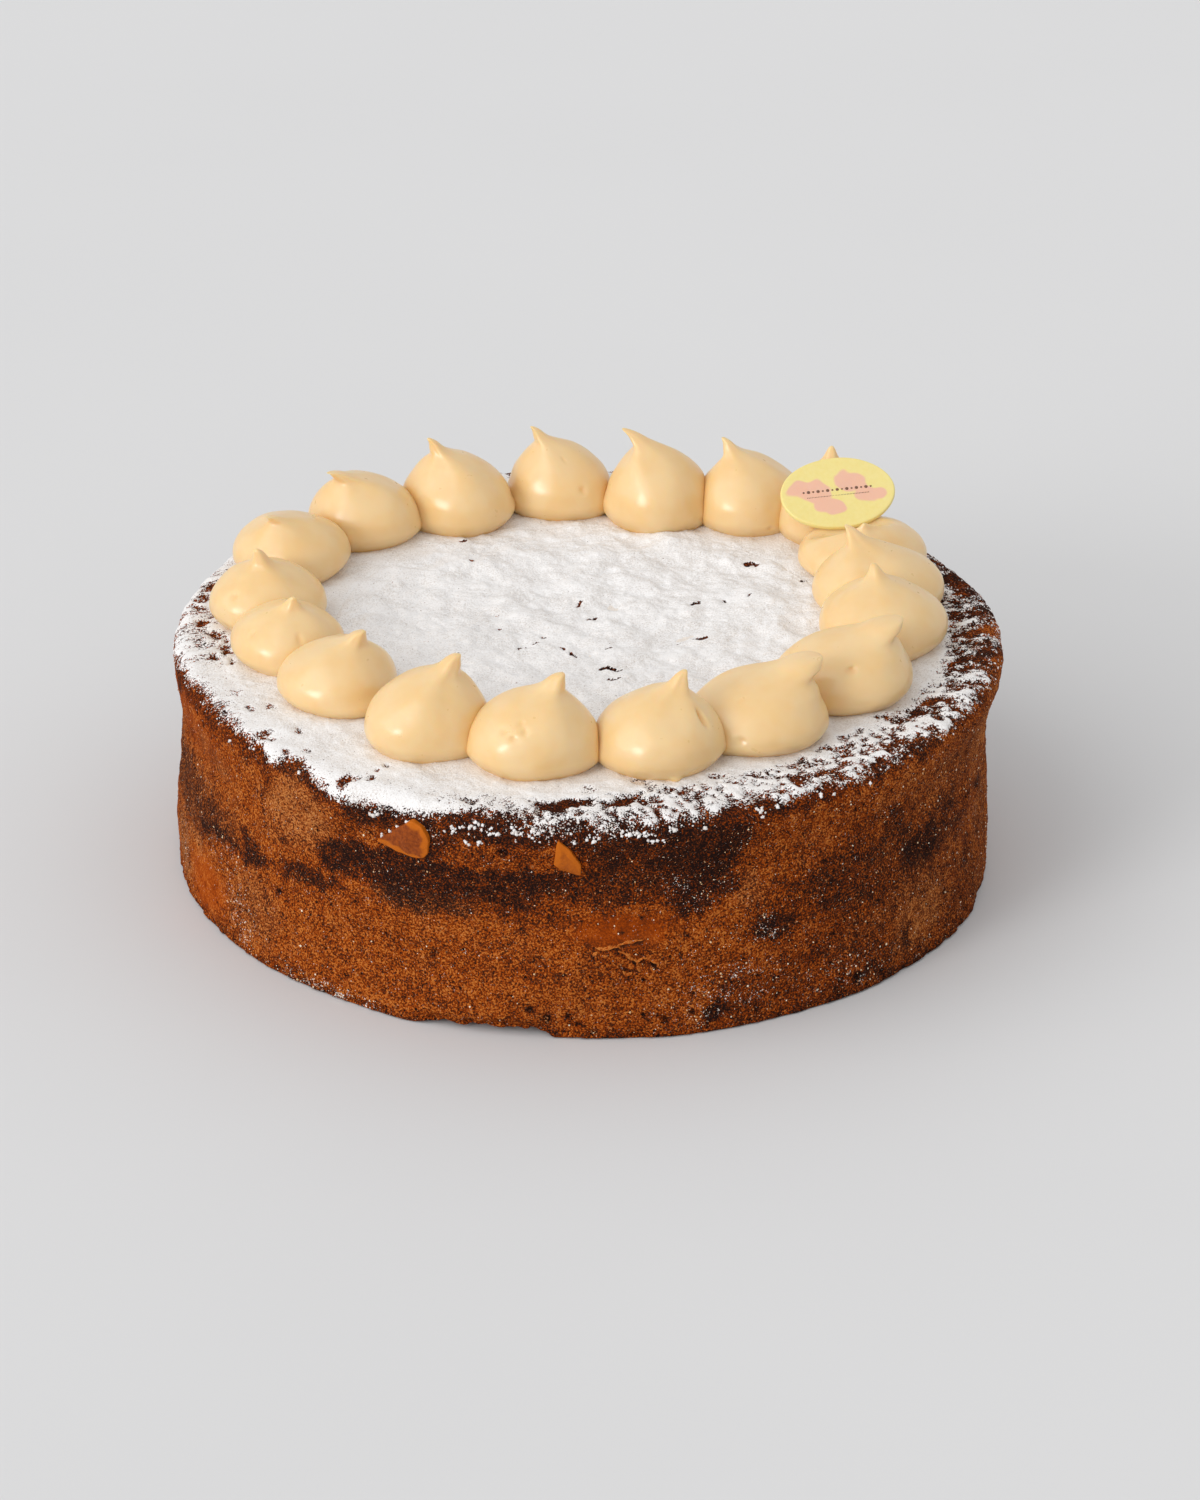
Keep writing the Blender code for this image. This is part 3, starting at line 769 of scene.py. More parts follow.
# How tan the crust is, laid one over another as above. The four patches from -155 to -168 degrees,
# at the far left, make a grey-brown band that is partly sugar haze and partly painted sheen where
# the wall turns away from the camera.
TAN_PATCHES = (
    Patch(-20.0, 38.0, 62.0, 76.0, 0.30, 0.0, 0.5),
    Patch(-134.0, 54.0, 13.0, 13.0, 0.55),
    Patch(-155.0, 54.0, 12.0, 6.0, 0.40),
    Patch(-164.0, 36.0, 34.0, 10.0, 0.55),
    Patch(-168.0, 15.0, 8.0, 10.0, 0.80),
    Patch(-143.0, 16.0, 12.0, 12.0, 0.45),
    Patch(-161.0, 23.0, 6.0, 4.0, 0.60),
    Patch(-113.0, 39.0, 17.0, 3.5, 0.50),
    Patch(-66.0, 42.0, 6.0, 6.0, 0.40),
    Patch(-34.0, 14.0, 14.0, 9.0, 0.65),
    Patch(-36.0, 26.0, 12.0, 6.0, 0.50),
    Patch(-27.0, 51.0, 10.0, 8.0, 0.45),
    Patch(-12.0, 20.0, 12.0, 20.0, 0.45),
    Patch(-14.0, 55.0, 16.0, 9.0, 0.70),
    Patch(40.0, 54.0, 24.0, 8.0, 0.60),
    Patch(106.0, 12.0, 26.0, 8.0, 0.50),
    Patch(165.0, 55.0, 20.0, 8.0, 0.35),
)
SMOOTH_PATCHES = (
    Patch(-84.5, 34.0, 14.0, 5.5, 1.00),
    Patch(-156.5, 11.0, 14.0, 9.0, 0.95),
    Patch(-162.0, 58.0, 28.0, 9.0, 0.60),
    Patch(18.0, 30.0, 13.0, 8.0, 0.90),
    Patch(136.0, 58.0, 24.0, 8.0, 0.60),
)


def paint(start, patches, degrees, height):
    """Soft ovals laid one over another, each of which pulls the number towards its own value.
    Angles are turned to millimetres along the wall."""
    painted = np.full(np.broadcast(degrees, height).shape, start)
    for patch in patches:
        along = turn_between(patch.angle, degrees) * WALL_DEGREE
        up = height - patch.height
        tilt = radians(patch.tilt)
        across = along * cos(tilt) + up * sin(tilt)
        over = up * cos(tilt) - along * sin(tilt)
        far = np.hypot(across / patch.wide, over / patch.high)
        share = 1.0 - smooth_step(1.0 - patch.soft, 1.0 + patch.soft, far)
        painted = painted + share * (patch.value - painted)
    return painted


def wall_values(points, degrees, height, pits):
    """The crust's values at points in millimetres: how dark, how tan and how smooth it is. The
    ovals are bent by soft noise, and the rim is darker. Painted shade darkens the bottom edge,
    a strip just under each flake's lip, and the pores."""
    bent = height + layered(points, (1.6, 9.0, 3), (1.2, 3.6, 4), (0.6, 1.8, 5))
    turned = degrees + layered(points, (1.8, 9.0, 6), (1.2, 3.6, 7)) / WALL_DEGREE
    darkness = paint(PLAIN_DARKNESS, DARK_PATCHES, turned, bent)
    rim = 0.52 + 0.34 * hump(degrees, -92.0, 30.0) + 0.36 * hump(degrees, 4.0, 42.0)
    start = 61.5 + 4.0 * hump(degrees, -5.0, 42.0)
    darkness = np.maximum(darkness, rim * smooth_step(start, start + 4.5, bent))
    # Painted shade along the bottom edge, where the cake meets the floor.
    darkness = darkness + 0.25 * (1.0 - smooth_step(0.5, 3.5, height))
    # Painted shadow in a strip just under each flake's torn lip.
    for turns in FLAKES:
        beside = distance_to_line(degrees + 0.2, height + 0.8, turns)
        darkness = darkness + 0.45 * (1.0 - smooth_step(0.2, 1.0, beside))
    # Fine clouds of darker and paler crust, and painted shade in the pores.
    darkness = darkness + layered(points, (0.05, 6.5, 8), (0.11, 2.6, 9)) + 0.8 * pits
    tan = TAN_STRENGTH * paint(0.0, TAN_PATCHES, turned, bent) + 0.05 * clouds(points, 4.0, 10)
    return {
        "darkness": np.clip(darkness, 0.0, 1.0),
        "tan": np.clip(tan, 0.0, 1.0),
        "smooth": paint(0.0, SMOOTH_PATCHES, turned, height),
    }


# ---------------------------------------------------------------- the crust
PORES = (  # angle, height, width and depth of the larger holes in the wall
    (-100.9, 58.7, 1.9, 1.8),
    (-96.8, 9.0, 1.8, 1.5),
    (-94.6, 6.0, 2.2, 1.6),
    (-91.6, 7.4, 1.8, 1.5),
    (-90.2, 4.6, 1.6, 1.4),
    (-81.4, 7.6, 1.6, 1.4),
    (-78.4, 5.6, 2.2, 1.5),
    (-74.6, 7.2, 1.8, 1.4),
    (-72.0, 6.5, 2.4, 1.6),
    (-48.5, 5.5, 2.6, 1.6),
    (-44.0, 3.8, 1.9, 1.4),
    (-84.2, 23.2, 1.2, 1.3),
    (-83.8, 21.5, 1.2, 1.3),
    (-81.6, 24.0, 1.2, 1.4),
    (-80.2, 23.2, 1.1, 1.3),
    (-87.3, 19.5, 1.1, 1.2),
    (-81.4, 18.5, 1.2, 1.3),
    (-110.5, 23.0, 1.4, 1.2),
    (-137.0, 26.0, 1.6, 1.2),
    (30.0, 44.0, 1.9, 1.6),
    (64.0, 12.0, 2.2, 1.6),
    (101.0, 58.0, 1.8, 1.6),
    (127.0, 8.0, 2.1, 1.4),
)
# The torn edges of thin flakes of crust, each a broken line of (angle, height).
FLAKES = (
    ((-88.1, 29.3), (-87.1, 29.1), (-86.3, 29.2), (-85.7, 29.8), (-85.0, 29.7), (-84.7, 29.0)),
    ((-85.0, 29.9), (-84.0, 30.8), (-82.8, 31.4), (-81.5, 31.8)),
    ((-87.8, 27.9), (-88.2, 27.4), (-88.2, 26.8)),
    (
        (-85.0, 28.0), (-83.8, 27.0), (-83.2, 25.8), (-82.4, 24.7),
        (-81.5, 25.5), (-80.9, 25.2), (-80.5, 24.5),
    ),
    ((-80.5, 24.5), (-79.7, 23.9), (-79.4, 23.2), (-79.6, 22.4)),
    ((-82.4, 24.6), (-82.2, 22.8), (-81.9, 21.2)),
    ((-84.3, 21.6), (-83.8, 20.3), (-83.2, 20.6), (-83.0, 21.2)),
    ((31.0, 24.0), (33.5, 25.4), (35.0, 23.6), (37.4, 24.6)),
    ((112.0, 28.0), (114.6, 30.2), (116.4, 28.8), (119.5, 31.0), (121.0, 29.4)),
    ((150.0, 52.0), (152.4, 50.6), (153.6, 52.2), (155.8, 51.0)),
)


def distance_to_line(degrees, height, turns):
    """Distance in millimetres, along the wall, to a broken line of (angle, height) places."""
    nearest = np.full(np.broadcast(degrees, height).shape, 1e3)
    for (a0, z0), (a1, z1) in zip(turns[:-1], turns[1:]):
        run = np.array([(a1 - a0) * WALL_DEGREE, z1 - z0])
        x = (degrees - a0) * WALL_DEGREE
        y = height - z0
        share = np.clip((x * run[0] + y * run[1]) / (run @ run), 0.0, 1.0)
        nearest = np.minimum(nearest, np.hypot(x - share * run[0], y - share * run[1]))
    return nearest


def pore_depth(points, degrees, height):
    """How deep the wall is pitted: the named holes, and small ones scattered evenly."""
    deep = 0.7 * (1.0 - smooth_step(0.07, 0.16, pebbles(points, 6.0, 51)))
    for angle, up, wide, depth in PORES:
        along = turn_between(angle, degrees) * WALL_DEGREE
        far = np.hypot(along, height - up) / (0.5 * wide)
        deep = np.maximum(deep, depth * np.exp(-(far**2)))
    return deep


def crust_rise(points, smooth, pits):
    """How far the fine crust stands out of the smooth body: grains and clots, and pores sunk in."""
    grains = 0.14 * (0.75 - pebbles(points, 2.0, 41)) + 0.10 * clouds(points, 1.7, 47)
    clots = layered(points, (0.18, 5.5, 43), (0.12, 2.6, 44))
    return (grains + clots - pits) * (1.0 - 0.8 * smooth)


def crust_lift(points):
    """The crust's own rise on the top, under the sugar."""
    return 0.25 * clouds(points, 4.0, 61) + 0.18 * (0.75 - pebbles(points, 2.2, 62))


WALL_BOTTOM = FOOT_ROUND[1]
UNDERSIDE_RADII = (112.0, 90.0, 45.0)  # of the rows under the foot
FAR_DOWN = 90.0  # a distance down the outside where no powder lies


def outside_rows():
    """Distances down the outside for the crust's rows: wide apart under the cream, close together
    from the rim to the foot."""
    top = np.concatenate([np.linspace(-RIM_START + 8.0, -14.0, 12), np.linspace(-13.0, -0.6, 15)])
    rim = np.linspace(0.0, RIM_ARC, 9)
    length = SEAT_HEIGHT - RIM_ROUND[1] - WALL_BOTTOM
    wall = RIM_ARC + np.linspace(0.0, length, 74)[1:]
    return np.concatenate([top, rim, wall])


def add_crust(material):
    """The whole body as one closed surface: the outline turned round, each point moved out by the
    crust's rise, then shaped as the solid is."""
    down = outside_rows()
    radius, height, out, up = down_the_outside(down)
    foot_turn = np.linspace(0.0, 0.5 * pi, 6)[1:]
    foot_radius = side_radius(0.0) - FOOT_ROUND[0] * (1.0 - np.cos(foot_turn))
    foot_height = FOOT_ROUND[1] * (1.0 - np.sin(foot_turn))
    level = np.zeros(len(UNDERSIDE_RADII))
    radius = np.concatenate([radius, foot_radius, UNDERSIDE_RADII])
    height = np.concatenate([height, foot_height, level])
    out = np.concatenate([out, np.cos(foot_turn), level])
    up = np.concatenate([up, -0.3 * np.sin(foot_turn), level])
    for way in (out, up):
        way[-len(level) - 1 :] = 0.0  # nothing stands out of the underside
    down = np.concatenate([down, np.full(len(radius) - len(down), FAR_DOWN)])
    angle, radius = np.meshgrid(full_turn(CRUST_COLUMNS), radius)
    height, out, up, down = (
        np.broadcast_to(row[:, None], radius.shape) for row in (height, out, up, down)
    )
    plain = round_axis(radius, angle, height)
    degrees = np.degrees(angle)
    pits = pore_depth(plain, degrees, height)
    values = wall_values(plain, degrees, height, pits)
    rise = crust_rise(plain, values["smooth"], pits) * out
    rise = rise + crust_lift(plain) * (1.0 - out) * (height > 60.0)
    ragged = np.maximum(layered(plain, (1.0, 3.0, 71), (0.6, 8.0, 72)), 0.0)
    rise = rise - 0.9 * ragged * (1.0 - smooth_step(0.0, 5.0, height)) * out
    points = shape_cake(angle, radius + rise * out, height + rise * up)
    torn = foot_chip(degrees) * (1.0 - smooth_step(1.0, 7.0, height)) * (radius > 110.0)
    points[..., 2] += torn * (0.7 * clouds(plain, 2.2, 73) - 0.5)
    points[..., 2] = np.maximum(points[..., 2], 0.0)
    dust = wall_dust(plain, degrees, height)
    values["amount"] = np.maximum(powder_amount(degrees, down, plain) * (height > 40.0), dust)
    add_piece(
        "cake_crust",
        closed_points((0.0, 0.0, SEAT_HEIGHT), points, (0.0, 0.0, 0.0)),
        closed_faces(*radius.shape),
        material,
        ("cake",),
        {key: closed_values(0.0, number, 0.0) for key, number in values.items()},
    )


def add_flakes(material):
    """The torn lips of the flakes: thin ribbons that follow the broken lines, a little wavy, with
    their lower side lifted off the wall and their ends run out into it."""
    around = full_turn(12)
    points, faces, amount = [], [], 0
    for turns in FLAKES:
        corners = np.array(turns)
        run = np.hypot(*(np.diff(corners, axis=0) * [WALL_DEGREE, 1.0]).T)
        place = np.concatenate([[0.0], np.cumsum(run)])
        step = np.linspace(0.0, place[-1], int(place[-1] / 0.25) + 2)
        degrees = np.interp(step, place, corners[:, 0])
        height = np.interp(step, place, corners[:, 1])
        spots = np.stack([step, 0.0 * step + corners[0, 0], 0.0 * step], axis=-1)
        height = height + 0.22 * clouds(spots, 1.1, 111)
        middle = surface_places(degrees, height_at(height), 0.0)
        out = round_axis(1.0, np.radians(degrees), 0.0 * step)
        ahead = np.gradient(middle, axis=0)
        side = np.cross(ahead, out)
        side = side / np.linalg.norm(side, axis=1, keepdims=True)
        low = np.where(side[:, 2:] < 0.0, 1.0, -1.0)
        end = np.sin(pi * np.clip(step / place[-1], 0.03, 0.97)) ** 0.35
        wide = (0.42 + 0.16 * clouds(spots, 1.4, 112)) * end
        thick = 0.20 * end
        across = wide[:, None] * np.cos(around)
        lift = thick[:, None] * np.sin(around) + (0.30 * low * np.cos(around) + 0.12) * end[:, None]
        rows = middle[:, None] + across[..., None] * side[:, None] + lift[..., None] * out[:, None]
        whole = closed_points(middle[0], rows, middle[-1])
        faces.extend(part + amount for part in closed_faces(*rows.shape[:2]))
        points.append(whole)
        amount += len(whole)
    plain = {"darkness": -0.20, "tan": 0.05, "smooth": 0.6, "amount": 0.0}
    values = {key: np.full(amount, value) for key, value in plain.items()}
    add_piece("crust_flakes", np.concatenate(points), faces, material, values=values)


# ---------------------------------------------------------------- the icing sugar
Edge = namedtuple("Edge", "angle reach soft thin start")
# Round the cake: how far past the start of the rounded rim half of the crust is still covered by
# powder, over what distance either way it fades, how much of it is missing in mottles before
# that, and from where the mottles begin.
EDGES = (
    Edge(-180.0, 5.8, 2.6, 0.55, -7.0),
    Edge(-174.0, 5.6, 2.6, 0.50, -7.0),
    Edge(-166.0, 3.2, 2.4, 0.30, -5.0),
    Edge(-160.0, 1.9, 2.2, 0.15, -4.0),
    Edge(-156.0, 1.6, 3.0, 0.15, -4.0),
    Edge(-150.0, 2.4, 2.4, 0.15, -4.0),
    Edge(-146.0, 3.2, 2.0, 0.12, -4.0),
    Edge(-141.0, 2.9, 1.6, 0.12, -4.0),
    Edge(-138.0, 4.0, 1.8, 0.12, -4.0),
    Edge(-134.0, 2.4, 1.6, 0.12, -4.0),
    Edge(-130.0, 3.5, 2.2, 0.12, -4.0),
    Edge(-125.0, 5.2, 2.0, 0.15, -4.0),
    Edge(-118.0, 6.0, 2.4, 0.12, 0.0),
    Edge(-112.0, 5.0, 2.4, 0.30, -3.0),
    Edge(-108.0, 3.8, 2.4, 0.40, -3.0),
    Edge(-104.0, 2.8, 3.0, 0.50, -3.0),
    Edge(-100.0, 3.0, 4.4, 0.62, -3.0),
    Edge(-96.0, 4.0, 4.8, 0.72, -3.0),
    Edge(-88.0, 4.2, 4.8, 0.78, -5.0),
    Edge(-80.0, 4.2, 4.4, 0.80, -8.0),
    Edge(-76.0, 4.0, 3.6, 0.80, -9.0),
    Edge(-73.0, 3.6, 2.6, 0.70, -10.0),
    Edge(-70.0, 1.6, 2.2, 0.65, -10.0),
    Edge(-66.0, 1.6, 2.2, 0.70, -10.0),
    Edge(-61.0, 2.8, 1.8, 0.75, -11.0),
    Edge(-56.0, 3.2, 1.8, 0.80, -11.0),
    Edge(-47.0, 4.2, 1.8, 0.82, -11.0),
    Edge(-41.0, 2.8, 1.8, 0.86, -11.0),
    Edge(-35.0, 2.8, 1.6, 0.90, -10.0),
    Edge(-29.0, 3.4, 1.6, 0.92, -10.0),
    Edge(-22.0, 4.2, 1.8, 0.95, -9.0),
    Edge(-16.0, 3.6, 2.2, 1.00, -8.0),
    Edge(-10.0, 2.8, 3.4, 1.06, -7.0),
    Edge(0.0, 3.0, 4.4, 1.12, -6.0),
    Edge(10.0, 3.0, 4.6, 1.15, -6.0),
    Edge(20.0, 2.8, 4.6, 1.16, -6.0),
    Edge(30.0, 2.4, 4.0, 1.10, -6.0),
    Edge(45.0, 3.5, 3.2, 0.85, -5.0),
    Edge(60.0, 5.0, 2.8, 0.65, -5.0),
    Edge(90.0, 4.0, 3.0, 0.60, -5.0),
    Edge(115.0, 3.0, 2.4, 0.35, -4.0),
    Edge(135.0, 4.5, 2.6, 0.30, -4.0),
    Edge(150.0, 6.5, 2.6, 0.25, -4.0),
    Edge(160.0, 7.0, 2.6, 0.45, -6.0),
    Edge(170.0, 6.6, 2.6, 0.55, -7.0),
    Edge(180.0, 5.8, 2.6, 0.55, -7.0),
)

Bare = namedtuple("Bare", "angle down wide deep strength")
# Places where the powder is thin and the crust shows through. down is as in EDGES.
BARE_SPOTS = (
    Bare(-95.6, -2.2, 5.2, 2.2, 0.98),
    Bare(-92.4, -4.4, 4.8, 2.1, 0.98),
    Bare(-90.2, -6.0, 2.6, 1.1, 0.90),
    Bare(-89.8, -12.0, 2.8, 2.6, 0.45),
    Bare(-84.2, -5.0, 4.2, 2.6, 0.98),
    Bare(-82.0, -8.0, 1.8, 2.6, 0.70),
    Bare(-81.0, -17.0, 2.6, 2.6, 0.70),
    Bare(-79.8, -12.5, 1.8, 3.0, 0.50),
    Bare(-77.2, -9.8, 2.6, 2.2, 0.60),
    Bare(-86.6, -8.8, 1.5, 1.0, 0.60),
    Bare(-81.0, -5.0, 2.4, 1.6, 0.55),
    Bare(-107.0, -1.2, 3.2, 1.1, 0.70),
    Bare(-104.4, 1.6, 3.6, 1.2, 0.55),
    Bare(-104.6, 4.2, 7.0, 1.5, 0.97),
    Bare(-108.4, 5.2, 3.6, 1.4, 0.97),
    Bare(-101.2, 2.9, 3.0, 1.2, 0.75),
    Bare(-122.5, -1.6, 1.8, 1.3, 0.75),
    Bare(-123.2, -5.4, 1.3, 1.2, 0.75),
    Bare(-122.8, -8.2, 1.7, 1.2, 0.75),
    Bare(-125.0, 0.6, 1.8, 1.4, 0.75),
    Bare(-125.2, 2.6, 1.8, 1.4, 0.80),
    Bare(-67.9, -14.6, 3.0, 1.7, 0.80),
    Bare(-63.2, -11.2, 2.6, 1.3, 0.70),
    Bare(-60.0, -11.0, 2.2, 1.5, 0.70),
    Bare(-60.0, -7.0, 2.2, 1.3, 0.50),
    Bare(-56.8, -13.4, 1.3, 0.9, 0.90),
    Bare(-58.0, -2.0, 3.6, 2.3, 0.90),
    Bare(-52.4, -11.8, 1.6, 1.7, 0.80),
    Bare(-53.0, -1.5, 2.2, 2.7, 0.75),
    Bare(-69.4, 3.4, 3.6, 2.0, 0.95),
    Bare(-65.0, 4.0, 3.0, 2.4, 0.90),
    Bare(-31.7, -14.4, 3.2, 1.7, 0.90),
    Bare(-31.4, -11.2, 2.4, 2.0, 0.80),
    Bare(-38.2, -14.0, 3.4, 1.2, 0.70),
    Bare(-42.0, -14.4, 2.6, 1.2, 0.70),
    Bare(-47.2, -14.4, 2.6, 1.6, 0.75),
    Bare(-41.2, -0.4, 3.2, 1.5, 0.80),
    Bare(-45.0, 2.8, 3.4, 1.8, 0.90),
    Bare(-36.0, 1.6, 2.4, 1.6, 0.70),
    Bare(-38.2, -1.0, 3.6, 0.9, 0.80),
    Bare(-27.2, -6.4, 3.6, 3.2, 0.97),
    Bare(-31.2, -7.8, 3.4, 2.2, 0.85),
    Bare(-23.0, -5.6, 3.0, 2.8, 0.97),
    Bare(-16.5, -4.6, 2.6, 1.0, 0.75),
    Bare(-20.0, -3.6, 2.0, 1.0, 0.60),
    Bare(-12.6, -1.4, 2.8, 1.0, 0.75),
    Bare(-9.0, -4.4, 3.2, 0.9, 0.65),
    Bare(-5.8, 0.6, 2.8, 1.8, 0.97),
    Bare(1.2, -0.6, 2.8, 2.6, 0.97),
    Bare(14.8, -0.2, 3.0, 2.0, 0.97),
    Bare(21.5, 1.6, 3.6, 2.4, 0.97),
    Bare(7.5, 0.2, 3.4, 1.2, 0.85),
    Bare(-151.8, -3.8, 1.7, 1.0, 0.55),
    Bare(-157.4, -3.4, 2.6, 1.4, 0.35),
    Bare(-143.6, -0.4, 2.6, 1.2, 0.75),
    Bare(-141.8, 0.4, 2.2, 1.0, 0.75),
    Bare(-151.0, -8.6, 2.8, 1.8, 0.50),
    Bare(-141.1, -7.0, 2.0, 1.4, 0.85),
    Bare(-137.0, 0.8, 1.7, 1.0, 0.80),
    Bare(-135.0, -2.2, 1.7, 0.9, 0.60),
    Bare(-142.8, 3.2, 3.0, 1.2, 0.70),
    Bare(-182.5, -1.8, 2.8, 1.8, 0.85),
    Bare(-178.6, -3.8, 2.4, 1.3, 0.80),
    Bare(-176.2, -6.8, 2.2, 1.2, 0.70),
    Bare(-172.2, -7.0, 3.2, 1.6, 0.90),
    Bare(-169.8, -3.6, 1.8, 1.0, 0.85),
    Bare(-168.2, -7.2, 1.6, 1.0, 0.50),
    Bare(164.8, 0.6, 3.4, 1.6, 0.90),
    Bare(168.8, 0.6, 2.8, 1.8, 0.80),
    Bare(160.5, 4.0, 2.6, 1.6, 0.70),
    Bare(172.5, 0.8, 2.2, 1.4, 0.60),
    Bare(169.0, 5.0, 2.0, 1.6, 0.50),
    Bare(70.0, -2.0, 9.0, 3.0, 0.60),
    Bare(96.0, 1.0, 12.0, 3.0, 0.50),
    Bare(124.0, -3.0, 7.0, 3.0, 0.50),
)

Slit = namedtuple("Slit", "x y long wide turn depth")
# Cracks in the powder inside the ring, in plan.
SLITS = (
    Slit(48.4, 49.2, 5.0, 3.6, -12.0, 1.2),
    Slit(-38.0, 60.6, 2.2, 1.8, 60.0, 1.0),
    Slit(-35.4, 45.9, 2.0, 1.8, 80.0, 0.9),
    Slit(-26.7, 12.1, 1.8, 1.8, 80.0, 0.36),
    Slit(-2.8, 19.3, 4.6, 1.2, 62.0, 0.9),
    Slit(1.0, 10.0, 4.4, 1.2, 38.0, 1.0),
    Slit(-13.1, -3.2, 1.8, 1.4, 30.0, 1.0),
    Slit(-19.4, -9.6, 3.6, 1.4, 42.0, 1.0),
    Slit(-15.5, -7.0, 3.0, 1.0, 30.0, 0.7),
    Slit(-7.4, -9.6, 3.6, 1.2, -60.0, 0.8),
    Slit(-4.6, -14.9, 4.4, 1.5, -62.0, 1.0),
    Slit(5.6, -23.8, 5.6, 2.2, -4.0, 1.1),
    Slit(8.6, -24.6, 3.6, 1.1, 10.0, 0.7),
    Slit(7.5, -31.8, 4.8, 1.4, 4.0, 0.9),
    Slit(31.6, 20.9, 5.0, 1.5, 55.0, 1.0),
    Slit(39.8, 22.3, 3.6, 1.2, 60.0, 0.8),
    Slit(47.4, 23.0, 2.6, 1.0, 40.0, 0.7),
    Slit(32.6, -3.5, 5.2, 2.0, 2.0, 1.1),
    Slit(26.5, -4.5, 2.4, 1.0, 8.0, 0.7),
    Slit(63.4, 38.0, 1.8, 1.5, 0.0, 0.9),
    Slit(6.0, -10.5, 3.0, 1.0, 45.0, 0.7),
    Slit(-26.0, 2.0, 2.4, 1.0, 70.0, 0.5),
)


def powder_amount(degrees, down, points):
    """How well the powder covers, from 1, all white, to 0, none: full on the top, less towards its
    edge on the rim, and thin in the named spots."""
    angles = [edge.angle for edge in EDGES]
    reach, soft, thin, start = (
        np.interp(degrees, angles, [edge[k] for edge in EDGES]) for k in (1, 2, 3, 4)
    )
    reach = reach + layered(points, (0.7, 7.0, 21), (0.7, 3.0, 22))
    cover = np.clip(0.5 - 0.5 * (down - reach) / soft, 0.0, 1.0)
    mottles = layered(points, (0.28, 4.2, 23), (0.62, 1.5, 27))
    mottles = np.clip(0.55 + mottles * (1.0 - 0.5 * hump(degrees, 8.0, 28.0)), 0.0, 1.0)
    begun = smooth_step(start - 5.0, start + 1.0, down)
    cover = cover * np.clip(1.0 - thin * mottles * begun, 0.0, 1.0)
    bent = down + layered(points, (0.8, 2.6, 24), (0.6, 1.4, 26))
    turned = degrees + 0.6 * clouds(points, 2.6, 25)
    for spot in BARE_SPOTS:
        along = turn_between(spot.angle, turned) * RIM_DEGREE
        far = np.hypot(along / spot.wide, (bent - spot.down) / spot.deep)
        cover = cover * (1.0 - spot.strength * (1.0 - smooth_step(0.45, 1.5, far)))
    return cover


def slit_depth(x, y):
    """How far the powder is sunk by the cracks: each a thin ellipse with soft sides, bent a little
    along its length."""
    deep = np.zeros(x.shape)
    for slit in SLITS:
        turn = radians(slit.turn)
        along = (x - slit.x) * cos(turn) + (y - slit.y) * sin(turn)
        across = (y - slit.y) * cos(turn) - (x - slit.x) * sin(turn)
        across = across + 0.35 * np.sin(along * 1.7 + slit.x)
        far = np.hypot(along / (0.5 * slit.long), across / (0.5 * slit.wide))
        deep = np.maximum(deep, slit.depth * (1.0 - smooth_step(0.35, 1.3, far)))
    return deep


BURIED = 0.45  # how far the powder's surface lies under the crust where the crust is bare


def powder_height(down, points, amount):
    """Height of the powder's surface over the crust, in millimetres: soft puffs and clots where it
    covers, taller inside the ring, and just under the crust where hardly any lies."""
    inside = 1.0 - smooth_step(-45.0, -32.0, down)
    puffs = 0.9 + layered(points, (0.80, 19.0, 34), (0.62, 8.0, 35), (0.32, 4.2, 40))
    clots = 0.20 * (0.8 - pebbles(points, 2.4, 36)) + 0.12 * (0.8 - pebbles(points, 1.3, 37))
    clots = clots * (1.0 - 0.55 * inside) + 0.16 * inside * clouds(points, 2.4, 39)
    deep = 0.30 + (0.30 + 0.60 * inside) * puffs + clots + 0.10 * clouds(points, 1.2, 38)
    deep = 0.10 + np.maximum(deep, 0.1) * smooth_step(0.15, 0.9, amount)
    edge = amount + layered(points, (0.14, 1.7, 31), (0.10, 3.6, 32))
    return smooth_step(0.14, 0.40, edge) * (BURIED + deep) - BURIED


def powder_points(angle, down):
    """Points of the powder's surface, and its own values there."""
    radius, height, out, up = down_the_outside(down)
    plain = round_axis(radius, angle, height)
    degrees = np.degrees(angle)
    amount = powder_amount(degrees, down, plain)
    pits = pore_depth(plain, degrees, height)
    cracks = slit_depth(plain[..., 0], plain[..., 1])
    bare = smooth_step(0.15, 0.5, cracks)
    darkness = wall_values(plain, degrees, height, pits)["darkness"]
    values = {"amount": amount * (1.0 - bare), "darkness": np.maximum(darkness, 0.62 * bare)}
    flat = crust_lift(plain) * (1.0 - out)
    on_wall = crust_rise(plain, np.zeros(out.shape), pits) * out
    lying = powder_height(down, plain, amount)
    rise = np.maximum(lying - 0.6 * cracks, np.minimum(lying, 0.08)) + flat + on_wall
    return shape_cake(angle, radius + rise * out, height + rise * up), values


INNER_REACH = 76.0  # radius of the patch of powder inside the ring
SINK = 1.6  # how far a patch's hidden underside lies below its edge


def square_to_disc(cells_across):
    """A square grid pressed into a disc, so that its cells stay much alike: the larger coordinate
    becomes the distance from the middle and the smaller one the angle within its quarter."""
    line = np.linspace(-1.0, 1.0, cells_across + 1)
    u, v = np.meshgrid(line, line)
    wide = np.abs(u) >= np.abs(v)
    reach = np.where(wide, u, v)
    safe = np.where(reach == 0.0, 1.0, reach)
    share = np.where(wide, v, u) / safe
    turn = np.where(wide, 0.25 * pi * share, 0.5 * pi - 0.25 * pi * share)
    return reach * np.cos(turn), reach * np.sin(turn)


